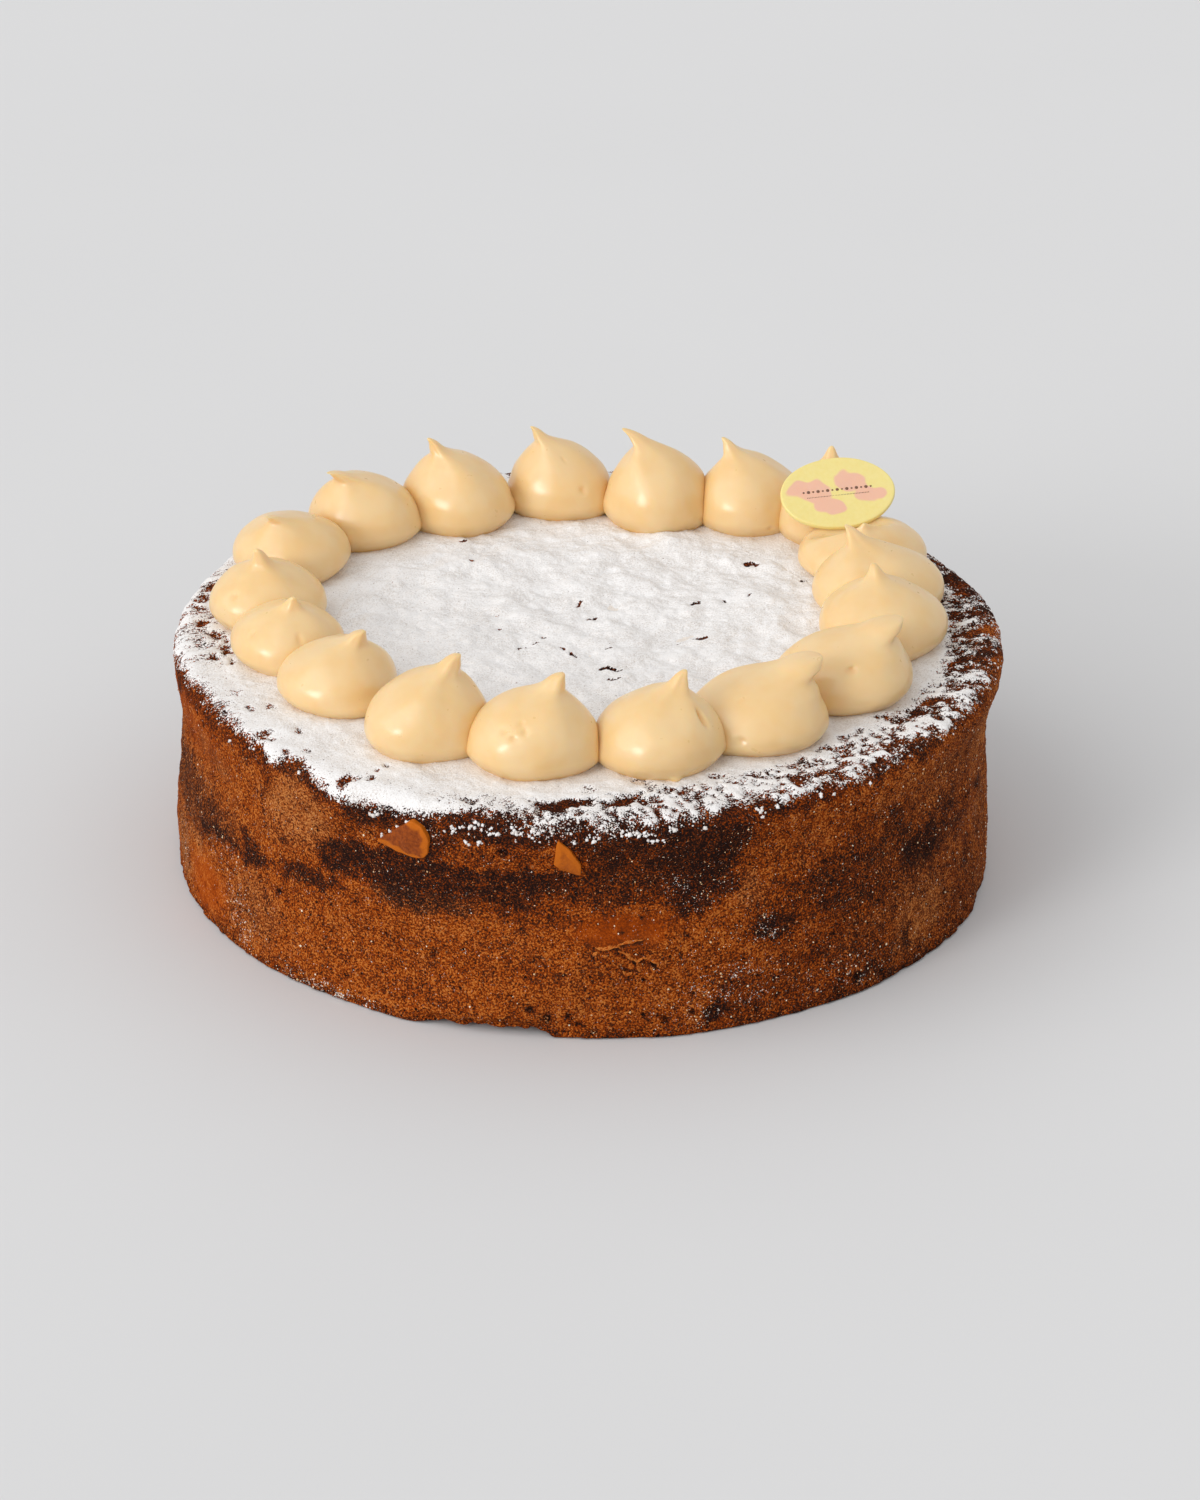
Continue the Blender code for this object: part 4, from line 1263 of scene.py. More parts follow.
def add_inner_powder(material):
    """The powder inside the ring: a disc of even cells that follows the lumps, with an edge that
    dives under the rest and a plain underside."""
    x, y = square_to_disc(SUGAR_CELLS)
    x = x * INNER_REACH
    y = y * INNER_REACH
    radius = np.hypot(x, y)
    angle = np.arctan2(y, x)
    points, values = powder_points(angle, radius - RIM_START)
    points[..., 2] -= 1.2 * smooth_step(INNER_REACH - 1.6, INNER_REACH, radius)
    side = SUGAR_CELLS + 1
    index = np.arange(side * side).reshape(side, side)
    upper = np.stack(
        [index[:-1, :-1], index[:-1, 1:], index[1:, 1:], index[1:, :-1]], axis=-1
    ).reshape(-1, 4)
    edge = np.concatenate([index[0, :-1], index[:-1, -1], index[-1, :0:-1], index[:0:-1, 0]])
    flat = points.reshape(-1, 3)
    below = flat[edge] - np.array([0.0, 0.0, SINK])
    ring = side * side + np.arange(len(edge))
    skirt = np.stack([edge, ring, np.roll(ring, -1), np.roll(edge, -1)], axis=-1)
    middle = np.array([[0.0, 0.0, SEAT_HEIGHT - 2.5 * SINK]])
    lower = pole_faces(side * side + len(edge), ring, outwards=False)
    hidden = np.zeros(len(edge) + 1)
    add_piece(
        "sugar_inside",
        np.concatenate([flat, below, middle]),
        [upper, skirt, lower],
        material,
        values={key: np.concatenate([number.ravel(), hidden]) for key, number in values.items()},
    )


def add_outer_powder(material):
    """The powder from under the cream out over the rim and a little down the wall, as a closed
    collar: rows down the outside, and three more that lead back inside the crust."""
    inner = INNER_REACH - 4.0 - RIM_START
    rows = [
        np.linspace(inner, inner + 4.0, 3)[:-1],
        np.linspace(inner + 4.0, 84.0 - RIM_START, 10)[:-1],
        np.linspace(84.0, 96.0, 9)[:-1] - RIM_START,
        np.linspace(96.0 - RIM_START, 0.0, 30)[:-1],
        np.linspace(0.0, RIM_ARC, 15)[:-1],
        np.linspace(RIM_ARC, RIM_ARC + 13.0, 23),
    ]
    down = np.concatenate(rows)
    angle, down = np.meshgrid(full_turn(SUGAR_COLUMNS), down)
    points, values = powder_points(angle, down)
    start = smooth_step(inner, inner + 3.4, down)
    points[..., 2] -= 1.0 * (1.0 - start)
    last = points[-1]
    below_first = points[0] * [1.02, 1.02, 1.0] - [0.0, 0.0, 6.0]
    deeper = np.stack([last * [0.975, 0.975, 1.0], last * [0.94, 0.94, 1.0], below_first])
    grid = np.concatenate([points, deeper])
    rows_in_all = grid.shape[0]
    index = np.arange(rows_in_all * SUGAR_COLUMNS).reshape(rows_in_all, SUGAR_COLUMNS)
    after = np.roll(index, -1, axis=1)
    next_row = np.roll(index, -1, axis=0)
    next_after = np.roll(after, -1, axis=0)
    faces = np.stack([index, next_row, next_after, after], axis=-1).reshape(-1, 4)
    hidden = np.zeros((len(deeper), SUGAR_COLUMNS))
    add_piece(
        "sugar_outside",
        grid.reshape(-1, 3),
        [faces],
        material,
        values={key: np.concatenate([number, hidden]) for key, number in values.items()},
    )


# ---------------------------------------------------------------- loose grains
# Where fine sugar fell down the wall, and how much of it lies there.
DUST_PATCHES = (
    Patch(-146.0, 13.0, 8.0, 13.0, 0.55, 20.0),
    Patch(-168.0, 14.0, 6.0, 10.0, 0.40),
    Patch(-150.0, 27.0, 12.0, 5.0, 0.35),
    Patch(-128.0, 1.5, 20.0, 3.0, 0.75),
    Patch(-70.0, 12.0, 20.0, 8.0, 0.50, 10.0),
    Patch(-74.0, 46.0, 10.0, 7.0, 0.50),
    Patch(-64.0, 30.0, 6.0, 4.0, 0.55),
    Patch(-112.0, 61.0, 5.0, 4.0, 0.60),
    Patch(-50.0, 8.0, 20.0, 6.0, 0.40),
    Patch(20.0, 8.0, 26.0, 6.0, 0.50),
    Patch(100.0, 6.0, 26.0, 5.0, 0.50),
    Patch(66.0, 50.0, 10.0, 5.0, 0.70),
)
Clot = namedtuple("Clot", "angle down wide deep lumps")
# Heaps of sugar lumps that cling below the powder's edge. down is as in EDGES.
CLOTS = (
    Clot(-105.4, 6.2, 3.6, 1.3, 16),
    Clot(-108.2, 7.8, 2.4, 1.2, 10),
    Clot(-102.2, 6.5, 2.2, 1.1, 10),
    Clot(-99.2, 5.8, 2.4, 1.3, 12),
    Clot(-96.4, 5.9, 2.0, 1.3, 9),
    Clot(-106.0, 10.9, 1.0, 0.9, 4),
    Clot(-104.0, 10.4, 0.9, 0.9, 4),
    Clot(-98.8, 8.4, 0.8, 0.6, 2),
    Clot(-91.2, 8.2, 0.9, 0.4, 3),
    Clot(-88.7, 6.8, 1.8, 0.7, 6),
    Clot(-84.6, 6.0, 1.6, 0.8, 6),
    Clot(-83.0, 6.2, 1.6, 0.9, 7),
    Clot(-81.4, 6.6, 1.4, 0.8, 6),
    Clot(-78.0, 5.8, 1.3, 1.2, 9),
    Clot(-80.4, 8.5, 2.6, 0.8, 8),
    Clot(-73.8, 6.5, 0.5, 0.5, 2),
    Clot(-65.6, 5.2, 1.2, 1.8, 10),
    Clot(-63.2, 4.0, 1.2, 0.8, 4),
    Clot(-132.8, 4.4, 0.9, 0.6, 3),
    Clot(-125.0, 7.0, 1.2, 0.8, 4),
    Clot(-119.6, 7.8, 1.6, 0.9, 6),
    Clot(-148.2, 6.4, 0.6, 0.5, 2),
    Clot(-47.8, 6.0, 0.5, 0.5, 1),
    Clot(-54.0, 5.4, 0.6, 0.6, 2),
    Clot(-56.5, 4.6, 0.8, 0.5, 3),
    Clot(-118.2, 14.6, 0.7, 0.6, 4),
    Clot(-117.0, 12.6, 0.7, 0.6, 5),
    Clot(-115.8, 10.6, 0.7, 0.6, 5),
    Clot(-114.4, 8.2, 0.9, 0.6, 6),
    Clot(64.0, 7.0, 3.0, 1.4, 12),
    Clot(74.0, 8.0, 2.2, 1.2, 9),
    Clot(98.0, 6.6, 3.2, 1.2, 14),
    Clot(107.0, 6.0, 1.8, 1.0, 8),
    Clot(128.0, 6.8, 2.4, 1.2, 10),
    Clot(142.0, 8.4, 1.8, 1.0, 6),
    Clot(36.0, 6.8, 1.4, 1.0, 5),
)


def wall_dust(points, degrees, height):
    """Amount of fine sugar on the wall, in drifts."""
    drifts = paint(0.0, DUST_PATCHES, degrees, height)
    return 0.36 * drifts * (0.7 + 0.5 * clouds(points, 3.0, 81)) * (height < 66.0)


def grain_shape():
    """An eight-sided grain of radius 1."""
    points = np.array(
        [(1, 0, 0), (0, 1, 0), (-1, 0, 0), (0, -1, 0), (0, 0, 1), (0, 0, -1)], dtype=float
    )
    faces = np.array(
        [
            (0, 1, 4), (1, 2, 4), (2, 3, 4), (3, 0, 4),
            (1, 0, 5), (2, 1, 5), (3, 2, 5), (0, 3, 5),
        ]
    )
    return points, faces


def turned_axes(draw, count):
    """Random right-handed axes, one set for each grain, from random quaternions."""
    q = draw.normal(size=(count, 4))
    q = q / np.linalg.norm(q, axis=1, keepdims=True)
    w, x, y, z = q.T
    rows = [
        [1 - 2 * (y * y + z * z), 2 * (x * y - z * w), 2 * (x * z + y * w)],
        [2 * (x * y + z * w), 1 - 2 * (x * x + z * z), 2 * (y * z - x * w)],
        [2 * (x * z - y * w), 2 * (y * z + x * w), 1 - 2 * (x * x + y * y)],
    ]
    return np.array(rows).transpose(2, 0, 1)


def add_grains(name, places, sizes, draw, material):
    """Many small grains as one mesh: each the same shape, stretched, turned and placed by arrays,
    with a tint of its own."""
    shape, faces = grain_shape()
    count = len(places)
    stretch = draw.uniform(0.65, 1.25, size=(count, 1, 3))
    wobble = draw.uniform(0.8, 1.2, size=(count, len(shape), 1))
    local = shape[None] * wobble * stretch * sizes[:, None, None]
    points = np.einsum("nij,nkj->nki", turned_axes(draw, count), local) + places[:, None, :]
    corners = faces[None] + (np.arange(count) * len(shape))[:, None, None]
    tint = np.repeat(draw.uniform(0.0, 1.0, count), len(shape))
    faces = [corners.reshape(-1, 3)]
    add_piece(name, points.reshape(-1, 3), faces, material, values={"tint": tint})


def surface_places(degrees, down, sunk):
    """Points on the outside of the crust, sunk by that much."""
    angle = np.radians(degrees)
    radius, height, out, up = down_the_outside(down)
    plain = round_axis(radius, angle, height)
    none = np.zeros(out.shape)
    rise = crust_rise(plain, none, none) * out
    rise = rise + crust_lift(plain) * (1.0 - out) - sunk
    return shape_cake(angle, radius + rise * out, height + rise * up)


WALL_SPAN = (RIM_ARC, RIM_ARC + SEAT_HEIGHT - RIM_ROUND[1] - WALL_BOTTOM)


def height_at(down):
    """The height on the wall at a distance down the outside, and just as well the distance down
    at a height, as one grows by what the other loses."""
    return SEAT_HEIGHT - RIM_ROUND[1] - (down - RIM_ARC)


def scatter_on_wall(draw, tries, density):
    """Random places on the wall, kept where a random number is under the density there."""
    degrees = draw.uniform(-180.0, 180.0, tries)
    down = draw.uniform(*WALL_SPAN, tries)
    keep = draw.uniform(0.0, 1.0, tries) < density(degrees, height_at(down))
    return degrees[keep], down[keep]


def add_wall_crumbs(crumbs):
    """Baked crumbs all over the wall, fewer on the smooth patches."""
    draw = np.random.default_rng(5)
    degrees, down = scatter_on_wall(
        draw, 12000, lambda side, height: 1.0 - paint(0.0, SMOOTH_PATCHES, side, height)
    )
    sizes = 0.15 + 0.28 * draw.uniform(0.0, 1.0, len(degrees)) ** 2
    places = surface_places(degrees, down, 0.35 * sizes)
    add_grains("crust_crumbs", places, sizes, draw, crumbs)


def sugar_density(side, height):
    """How thick loose sugar grains lie: few all over, more on the right and in the drifts."""
    right = 0.05 * hump(side, -50.0, 38.0)
    return 0.02 + right + 0.45 * paint(0.0, DUST_PATCHES, side, height)


def add_wall_sugar(sugar):
    """Grains of sugar that stick to the wall."""
    draw = np.random.default_rng(6)
    degrees, down = scatter_on_wall(draw, 26000, sugar_density)
    sizes = 0.14 + 0.30 * draw.uniform(0.0, 1.0, len(degrees)) ** 2.5
    places = surface_places(degrees, down, 0.1 * sizes)
    add_grains("sugar_grains", places, sizes, draw, sugar)


def add_sugar_clots(sugar):
    """Crumbs of powder round its ragged edge, and larger clots that cling below it."""
    draw = np.random.default_rng(7)
    tries = 60000
    degrees = draw.uniform(-180.0, 180.0, tries)
    down = draw.uniform(-26.0, 18.0, tries)
    angle = np.radians(degrees)
    radius, height, _, _ = down_the_outside(down)
    plain = round_axis(radius, angle, height)
    amount = powder_amount(degrees, down, plain)
    keep = draw.uniform(0.0, 1.0, tries) < 1.5 * amount * (1.0 - amount) + 0.04 * (amount > 0.05)
    edge_degrees, edge_down = degrees[keep], down[keep]
    edge_sizes = 0.12 + 0.34 * draw.uniform(0.0, 1.0, len(edge_degrees)) ** 2
    clinging, below, clot_sizes = [], [], []
    for clot in CLOTS:
        along = draw.normal(0.0, 0.5 * clot.wide, clot.lumps)
        clinging.append(clot.angle + along / WALL_DEGREE)
        below.append(clot.down + draw.normal(0.0, 0.5 * clot.deep, clot.lumps))
        clot_sizes.append(draw.uniform(0.35, 0.85, clot.lumps))
    degrees = np.concatenate([edge_degrees, *clinging])
    down = np.concatenate([edge_down, *below])
    sizes = np.concatenate([edge_sizes, *clot_sizes])
    places = surface_places(degrees, down, -0.15 * sizes)
    add_grains("sugar_clots", places, sizes, draw, sugar)


# ---------------------------------------------------------------- the cream kisses
def kiss_radius(t, nose):
    """The radius of a kiss at height share t, as a share of its widest radius: it swells from the
    foot to the belly and falls in a long soft curve, blended with the nose of the tip."""
    belly = KISS_FOOT + (1.0 - KISS_FOOT) * np.sin(0.5 * pi * np.clip(t / KISS_BELLY, 0.0, 1.0))
    fall = np.clip((t - KISS_BELLY) / (1.0 - KISS_BELLY), 0.0, 1.0)
    body = np.where(t < KISS_BELLY, belly, (1.0 - fall ** KISS_FALL[0]) ** KISS_FALL[1])
    body = body * (1.0 - 0.35 * smooth_step(0.72, 0.90, t))
    power = np.interp(nose, (0.25, 0.44), (0.42, 0.28))
    tip = 0.74 * nose * np.clip((1.0 - t) / KISS_NOSE_LENGTH, 0.0, 1.0) ** power
    return np.hypot(body, tip * smooth_step(0.3, 0.7, t))


def kiss_place(kiss):
    """The middle of the kiss's foot, in plan."""
    turn = radians(kiss.angle)
    return np.array(RING_CENTRE) + kiss.ring * np.array([cos(turn), sin(turn)])


def keep_behind(points, on_plane, normal, softness):
    """Presses points back along the normal, so that none passes the plane."""
    past = (points - on_plane) @ normal
    back = softness * np.logaddexp(0.0, past / softness)
    return points - back[:, None] * normal


def plaque_place():
    """Where the plaque lies: turned in its own plane, then tilted."""
    turn = Matrix.Rotation(radians(PLAQUE_TURN), 4, "Z")
    tilt = Matrix.Rotation(radians(PLAQUE_TILT), 4, "X")
    return Matrix.Translation(Vector(PLAQUE_CENTRE)) @ tilt @ turn


def press_under_plaque(points):
    """Presses cream down to the plaque's underside, fully below the plaque and less and less out
    to half as far again from its middle."""
    place = np.array(plaque_place())
    middle, normal = place[:3, 3], place[:3, 2]
    along, across = ((points - middle) @ place[:3, :2]).T
    ratio = np.hypot(along / (0.5 * PLAQUE_LENGTH), across / (0.5 * PLAQUE_WIDTH))
    under = middle - normal * (0.5 * PLAQUE_THICKNESS + 0.1)
    share = 1.0 - smooth_step(1.1, 1.5, ratio)
    return points + share[:, None] * (keep_behind(points, under, normal, 0.5) - points)


def shape_kiss(points, number):
    """Draws the round body over to its tip, makes it a little uneven, and presses it flat where
    it meets its neighbours and the plaque, as in the solids but touching. It also gives each
    point's share of painted shade, round the foot and in the creases by its neighbours."""
    kiss = KISSES[number]
    draw = np.random.default_rng(100 + number)
    x, y, z = points.T
    t = z / kiss.height
    angle = np.arctan2(y, x)
    swell = 1.0 + sum(
        0.022 * np.cos(turns * angle + draw.uniform(0.0, 2.0 * pi)) for turns in (2, 3)
    )
    extra, peak, width = SHOULDER_DRAW
    drawn = t**KISS_DRAW + extra * np.exp(-(((t - peak) / width) ** 2))
    bend = np.clip((t - 0.78) / 0.22, 0.0, 1.0) ** 2
    foot = 1.0 - smooth_step(0.06, 0.34, t)
    moved = np.stack([x * swell, y * swell, z], axis=1)
    moved = moved + drawn[:, None] * np.array([*kiss.lean, 0.0])
    moved = moved + bend[:, None] * np.array(kiss.hook)
    place = kiss_place(kiss)
    moved[:, :2] += place
    moved[:, 2] += SEAT_HEIGHT + CLEARANCE
    # Painted shade round the foot here, and in the creases by each neighbour below.
    painted_shade = 1.0 - smooth_step(0.0, 0.09, t)
    for step in (-1, 1):
        other = KISSES[(number + step) % len(KISSES)]
        away = kiss_place(other) - place
        gap = np.linalg.norm(away)
        normal = np.array([*(away / gap), 0.0])
        facing = np.clip(np.cos(angle - np.arctan2(away[1], away[0])), 0.0, 1.0) ** 3
        moved = moved + (FOOT_SPREAD * facing * foot)[:, None] * normal
        share = gap * kiss.radius / (kiss.radius + other.radius) + OVERLAP
        middle = np.array([*place, 0.0]) + normal * share
        short = (middle - moved) @ normal
        painted_shade = np.maximum(painted_shade, 0.6 - 0.6 * smooth_step(0.2, 1.8, short))
        moved = keep_behind(moved, middle, normal, 0.2)
    return (press_under_plaque(moved) if number in PLAQUE_REST else moved), painted_shade


Mark = namedtuple("Mark", "kiss side rise wide high depth")
# Pits and nubs in the cream: the kiss's number, the direction it faces, the share of the height,
# its size, and how deep it is, below zero for one that stands out.
MARKS = (
    Mark(4, -61.0, 0.41, 0.9, 1.1, 0.7),
    Mark(4, -69.0, 0.70, 0.6, 0.6, 0.4),
    Mark(6, -69.0, 0.15, 0.7, 0.8, 0.6),
    Mark(11, -91.0, 0.62, 1.4, 0.9, 1.5),
    Mark(12, -104.0, 0.30, 1.3, 1.0, 0.6),
    Mark(12, -124.0, 0.68, 0.6, 0.6, 0.4),
    Mark(13, -30.0, 0.61, 0.8, 1.7, 3.0),
    Mark(13, -64.0, 0.07, 1.0, 0.6, 0.4),
    Mark(13, -57.0, 0.10, 1.0, 0.6, 0.5),
    Mark(13, -50.0, 0.13, 1.0, 0.6, 0.4),
    Mark(14, -126.0, 0.54, 1.3, 0.8, 0.6),
    Mark(14, -112.0, 0.50, 1.2, 0.7, 0.7),
    Mark(14, -102.0, 0.56, 1.0, 0.8, 0.8),
    Mark(14, -110.0, 0.62, 0.8, 0.6, 0.5),
    Mark(17, -139.0, 0.54, 1.0, 0.9, 0.7),
    Mark(17, -72.0, 0.55, 0.9, 1.3, 0.7),
    Mark(18, -130.0, 0.53, 1.1, 1.0, 0.8),
    Mark(13, -72.0, 0.03, 1.6, 1.4, -1.7),
)


def mark_depth(number, angle, t, radius, height):
    """How far the cream is pushed in by the kiss's marks, each a bell round its place."""
    deep = np.zeros(t.shape)
    for mark in MARKS:
        if mark.kiss != number + 1:
            continue
        along = np.radians(turn_between(mark.side, np.degrees(angle))) * radius
        far = np.hypot(along / mark.wide, (t - mark.rise) * height / mark.high)
        deep = deep + mark.depth * np.exp(-(far**2))
    return deep


def add_kiss(number, material):
    """A kiss as a closed surface: the turned profile in rows closer together at the tip and foot,
    pushed in by its marks, with faint ripples round it, then shaped."""
    kiss = KISSES[number]
    step = np.linspace(0.0, 1.0, KISS_ROWS)
    t = 1.0 - (0.55 * step + 0.45 * (1.0 - np.cos(pi * step)) * 0.5)
    t = np.clip(t, 0.0, 0.9985)
    angle, t = np.meshgrid(full_turn(PIECE_COLUMNS), t)
    radius = kiss.radius * kiss_radius(t, kiss.nose)
    height = kiss.height * t
    plain = round_axis(radius, angle, height)
    ripple = 0.16 * clouds(plain + 50.0 * number, 7.0, 90) + 0.05 * clouds(plain, 3.0, 91)
    ripple = ripple * (1.0 - smooth_step(0.75, 0.95, t))
    ridges = 0.07 * np.cos(3.0 * angle + 1.7 * number) + 0.04 * np.cos(5.0 * angle + 2.9 * number)
    ridges = ridges * np.interp(kiss.nose, (0.35, 0.50), (1.0, 0.2))
    radius = radius * (1.0 + ridges * smooth_step(0.45, 0.8, t))
    marks = mark_depth(number, angle, t, radius, kiss.height)
    rows = round_axis(radius + ripple - marks, angle, height)
    points = closed_points((0.0, 0.0, kiss.height), rows, (0.0, 0.0, 0.0))
    points, painted_shade = shape_kiss(points, number)
    # Painted shade in the pits as well.
    painted_shade[1:-1] = np.maximum(painted_shade[1:-1], np.clip(0.4 * marks.ravel(), 0.0, 0.8))
    add_piece(
        f"cream_kiss_{number + 1:02d}",
        points,
        closed_faces(*t.shape),
        material,
        (f"kiss_{number + 1:02d}",),
        {"painted_shade": painted_shade},
    )


# ---------------------------------------------------------------- the plaque
PINK_BLUSHES = (  # the middle of each on the plaque, and how far it reaches along and across
    (-6.0, 2.0, 7.0, 4.4),
    (4.0, 3.0, 6.5, 3.6),
    (9.0, -2.0, 4.5, 3.4),
    (-1.5, -4.6, 5.5, 2.6),
)
DOT_HEIGHT = 0.45  # of a dot's radius


def add_plaque(material, dots):
    """The oval plaque: rows run from the middle of its face out, round its edge and back to the
    middle of its underside. Its face is a little uneven."""
    face = np.linspace(0.02, 1.0, 34)
    edge = np.linspace(0.0, pi, 13)[1:-1]
    half = 0.5 * PLAQUE_THICKNESS
    share = np.concatenate([face, np.ones(len(edge)), face[::-1]])
    bulge = np.concatenate([0.0 * face, PLAQUE_EDGE * np.sin(edge) ** 0.8, 0.0 * face])
    height = np.concatenate([half + 0.0 * face, half * np.cos(edge), -half + 0.0 * face])
    angle, share = np.meshgrid(full_turn(PIECE_COLUMNS), share)
    reach_x = (0.5 * PLAQUE_LENGTH - PLAQUE_EDGE) * share + bulge[:, None]
    reach_y = (0.5 * PLAQUE_WIDTH - PLAQUE_EDGE) * share + bulge[:, None]
    wobble = 1.0 + 0.006 * np.cos(2 * angle + 0.7) + 0.004 * np.cos(5 * angle)
    x = reach_x * np.cos(angle) * wobble
    y = reach_y * np.sin(angle) * wobble
    flat = np.stack([x, y, np.zeros(x.shape)], axis=-1)
    z = height[:, None] + layered(flat, (0.05, 6.0, 95), (0.02, 2.0, 96))
    pink = np.zeros(x.shape)
    for bx, by, wide, high in PINK_BLUSHES:
        far = np.hypot((x - bx) / wide, (y - by) / high) + 0.35 * clouds(flat, 3.4, 97)
        pink = np.maximum(pink, 1.0 - smooth_step(0.45, 1.15, far))
    place = np.array(plaque_place())
    rows = placed(np.stack([x, y, z], axis=-1), place)
    top = place[:3, 3] + place[:3, 2] * half
    bottom = place[:3, 3] - place[:3, 2] * half
    add_piece(
        "plaque_oval",
        closed_points(top, rows, bottom),
        closed_faces(*share.shape),
        material,
        ("plaque",),
        {"pink": closed_values(0.0, pink, 0.0)},
    )
    add_dots(place, dots)


def add_dots(place, material):
    """A plain row of raised chocolate dots, large and small by turns, over a fine beaded line."""
    spots = [(1.45 * k, 0.9, 0.52 if k % 2 == 0 else 0.32) for k in range(-7, 8)]
    spots += [(0.46 * k, -1.1, 0.16) for k in range(-20, 21)]
    half = 0.5 * PLAQUE_THICKNESS
    angle, rise = np.meshgrid(full_turn(14), np.linspace(0.0, 0.5 * pi, 5)[1:])
    dome = round_axis(np.sin(rise), angle, DOT_HEIGHT * np.cos(rise))
    points, faces = [], []
    for x, y, size in spots:
        first = len(points) * (dome.shape[0] * dome.shape[1] + 2)
        rows = dome * size + np.array([x, y, half])
        whole = closed_points((x, y, half + DOT_HEIGHT * size), rows, (x, y, half - 0.1))
        points.append(placed(whole, place))
        faces.extend(part + first for part in closed_faces(*dome.shape[:2]))
    add_piece("plaque_dots", np.concatenate(points), faces, material)


# ---------------------------------------------------------------- the almond pieces
def almond_frame(almond):
    """Axes of an almond piece in the wall: along, up, and straight out."""
    turn = radians(almond.angle)
    out = Vector((cos(turn), sin(turn), 0.0))
    along = Vector((-sin(turn), cos(turn), 0.0))
    matrix = Matrix((along, Vector((0.0, 0.0, 1.0)), out)).transposed().to_4x4()
    wall = side_radius(almond.height) + float(flare(almond.angle, almond.height))
    wall += CRUST_RELIEF * float(unevenness(CRUST_WAVES, turn, almond.height))
    reach = wall + ALMOND_PROUD - 0.5 * ALMOND_DEPTH
    matrix.translation = out * reach + Vector((0.0, 0.0, almond.height))
    return np.array(matrix)


def outline_sides(corners):
    """The outward direction of each side between two corners and its distance from the middle."""
    here = np.array(corners)
    after = np.roll(here, -1, axis=0)
    run = after - here
    out = np.stack([run[:, 1], -run[:, 0]], axis=-1) / np.linalg.norm(run, axis=1, keepdims=True)
    return out, np.sum(out * here, axis=1)


def outline_reach(angle, out, away):
    """How far the outline is from the middle in each direction: the nearest of its sides, with the
    corners rounded a little by adding up high powers."""
    facing = np.cos(angle)[..., None] * out[:, 0] + np.sin(angle)[..., None] * out[:, 1]
    return np.sum((np.maximum(facing, 0.0) / away) ** 22.0, axis=-1) ** (-1.0 / 22.0)


def add_almond(number, material):
    """A shard of almond: the outline of its corners, a gently domed and wrinkled face, a rounded
    edge and a flat back in its pocket."""
    almond = ALMONDS[number]
    face = np.linspace(0.03, 1.0, 26)
    edge = np.linspace(0.0, 0.5 * pi, 9)[1:]
    half = 0.5 * ALMOND_DEPTH
    round_off = 0.5 * ALMOND_EDGE
    share = np.concatenate([face, np.ones(len(edge) + 2), [0.6]])
    bulge = np.concatenate([0.0 * face, round_off * np.sin(edge), np.full(3, round_off)])
    height = np.concatenate(
        [half + 0.0 * face, half - round_off * (1.0 - np.cos(edge)), [0.0, -half, -half]]
    )
    angle, share = np.meshgrid(full_turn(PIECE_COLUMNS), share)
    out, away = outline_sides(almond.corners)
    reach = (outline_reach(angle, out, away) - round_off) * share + bulge[:, None]
    x = reach * np.cos(angle)
    y = reach * np.sin(angle)
    flat = np.stack([x, y, np.zeros(x.shape)], axis=-1)
    ragged = 0.16 * clouds(flat, 1.6, 120 + number) * share
    x = x + ragged * np.cos(angle)
    y = y + ragged * np.sin(angle)
    front = height[:, None] > 0.0
    wrinkles = 0.18 * clouds(flat * [1.0, 0.4, 1.0], 2.2, 99 + number)
    dome = 0.5 * (1.0 - share**2) + wrinkles
    wall = flare(almond.angle, almond.height + y) - flare(almond.angle, almond.height)
    z = height[:, None] + front * dome + wall + 0.3
    cut = np.full(x.shape, almond.paleness) + 0.12 * clouds(flat, 2.4, 122 + number)
    for side in almond.cut_sides:
        inwards = away[side] - x * out[side, 0] - y * out[side, 1]
        cut = np.maximum(cut, 1.0 - smooth_step(0.6, 3.0, inwards + 0.5 * clouds(flat, 1.8, 124)))
    place = almond_frame(almond)
    rows = placed(np.stack([x, y, z], axis=-1), place)
    top = place[:3, 3] + place[:3, 2] * (half + 0.8)
    bottom = place[:3, 3] - place[:3, 2] * (half - 0.3)
    add_piece(
        f"almond_piece_{number + 1}",
        closed_points(top, rows, bottom),
        closed_faces(*x.shape),
        material,
        (f"almond_{number + 1}",),
        {"cut": closed_values(almond.paleness, cut, 0.0)},
    )


# ---------------------------------------------------------------- floor, light and camera
FLOOR_GREY = (0.670, 0.670, 0.676, 1.0)
FLOOR_GREY_PALE = (0.705, 0.705, 0.710, 1.0)
FLOOR_REACH, FLOOR_LEVEL = 6.0, -0.0002  # metres
SKY_STRENGTH = 0.75
# Each sun's name, the direction and the height that it comes from and its spread, all three in
# degrees, and its strength.
SUNS = (
    ("window_left", -134.0, 20.0, 20.0, 0.88),
    ("soft_left", -152.0, 38.0, 60.0, 0.95),
)


def add_floor():
    """A wide flat floor, faintly uneven in tone."""
    mesh = bpy.data.meshes.new("floor")
    corners = [
        (x * FLOOR_REACH, y * FLOOR_REACH, FLOOR_LEVEL)
        for x, y in ((-1, -1), (1, -1), (1, 1), (-1, 1))
    ]
    mesh.from_pydata(corners, [], [(0, 1, 2, 3)])
    floor = bpy.data.objects.new("floor", mesh)
    bpy.context.scene.collection.objects.link(floor)
    material, tree, shader = new_material("pale_floor")
    cloud = noise(tree, object_place(tree), 260.0, 3.0)
    base = blend_colour(tree, cloud, FLOOR_GREY, FLOOR_GREY_PALE)
    feed(tree, shader, {"Base Color": base, "Roughness": 0.6, "Specular IOR Level": 0.2})
    mesh.materials.append(material)


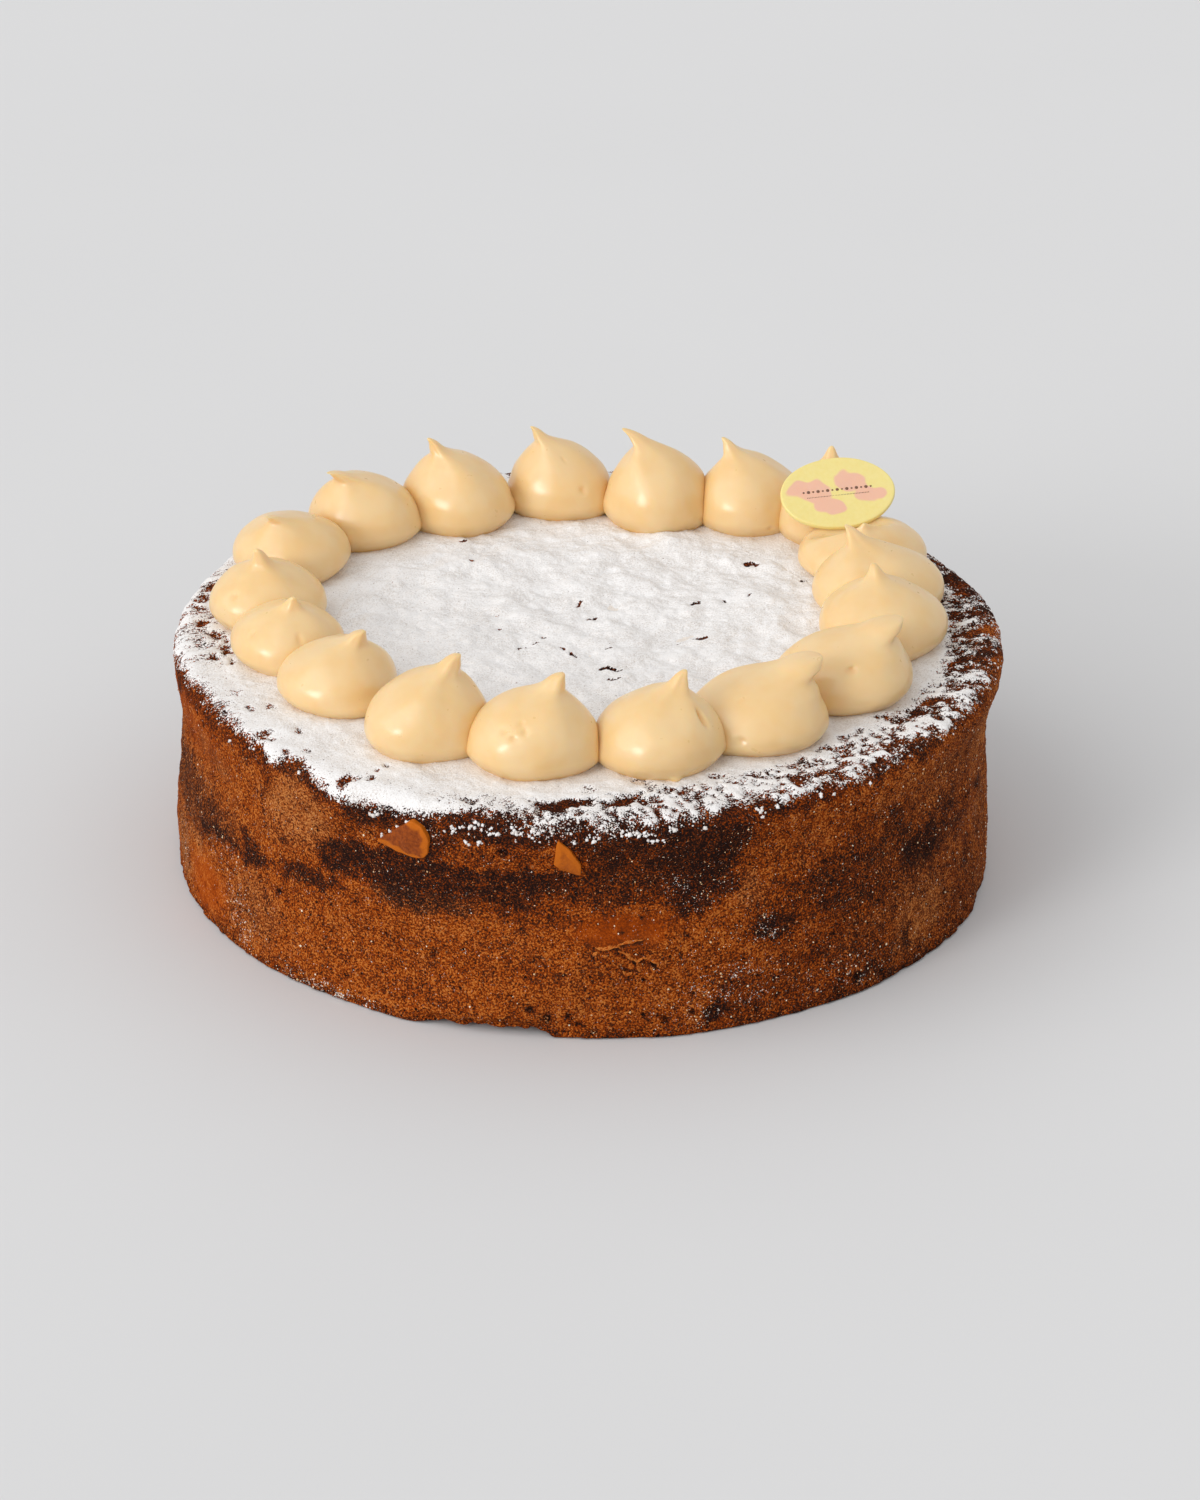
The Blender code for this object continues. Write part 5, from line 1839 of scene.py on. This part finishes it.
def add_sun(name, azimuth, elevation, width, strength):
    """A soft distant light that comes from that direction, spread over that many degrees."""
    light = bpy.data.lights.new(name, "SUN")
    light.energy = strength
    light.angle = radians(width)
    lamp = bpy.data.objects.new(name, light)
    bpy.context.scene.collection.objects.link(lamp)
    turn, lift = radians(azimuth), radians(elevation)
    source = Vector((cos(turn) * cos(lift), sin(turn) * cos(lift), sin(lift)))
    lamp.matrix_world = source.to_track_quat("Z", "Y").to_matrix().to_4x4()


def add_light():
    """An even white sky and two suns, both from the left of the camera."""
    world = bpy.data.worlds.new("soft_room")
    bpy.context.scene.world = world
    world.use_nodes = True
    sky = world.node_tree.nodes["Background"]
    sky.inputs["Color"].default_value = (1.0, 1.0, 1.0, 1.0)
    sky.inputs["Strength"].default_value = SKY_STRENGTH
    for sun in SUNS:
        add_sun(*sun)


CAMERA_PLACE = (-0.0020, -2.0809, 1.0715)  # metres
CAMERA_LENS = 188.88
CAMERA_AXES = (  # its right, up and back directions
    (0.99991, 0.00374, 0.01308),
    (-0.01338, 0.4468, 0.89453),
    (-0.0025, -0.89463, 0.44681),
)


def add_camera():
    """The camera of the photo, as worked out from the photo."""
    camera = bpy.data.cameras.new("camera")
    camera.sensor_fit = "AUTO"
    camera.sensor_width = 36.0
    camera.lens = CAMERA_LENS
    camera.clip_end = 20.0
    holder = bpy.data.objects.new("camera", camera)
    bpy.context.scene.collection.objects.link(holder)
    matrix = Matrix(CAMERA_AXES).transposed().to_4x4()
    matrix.translation = CAMERA_PLACE
    holder.matrix_world = matrix
    bpy.context.scene.camera = holder


def main():
    """Makes every piece, then the floor, the light and the camera."""
    bpy.context.scene.view_settings.view_transform = "Standard"
    crust = add_crust_group(add_grain_group())
    dust = add_dust_group()
    sugar = sugar_finish(crust, dust)
    baked = crust_finish(crust, dust)
    add_crust(baked)
    add_flakes(baked)
    add_inner_powder(sugar)
    add_outer_powder(sugar)
    add_wall_crumbs(loose_finish("loose_crumbs", CRUMB_DARK, CRUMB_PALE, 0.8))
    add_wall_sugar(loose_finish("sugar_on_crust", SUGAR_STAINED, SUGAR_CLEAN, 0.7))
    add_sugar_clots(loose_finish("sugar_lumps", LUMP_GREY, SUGAR_WHITE, 0.7))
    cream = cream_finish()
    for number in range(len(KISSES)):
        add_kiss(number, cream)
    add_plaque(plaque_finish(), dots_finish())
    almond = almond_finish()
    for number in range(len(ALMONDS)):
        add_almond(number, almond)
    add_floor()
    add_light()
    add_camera()


main()
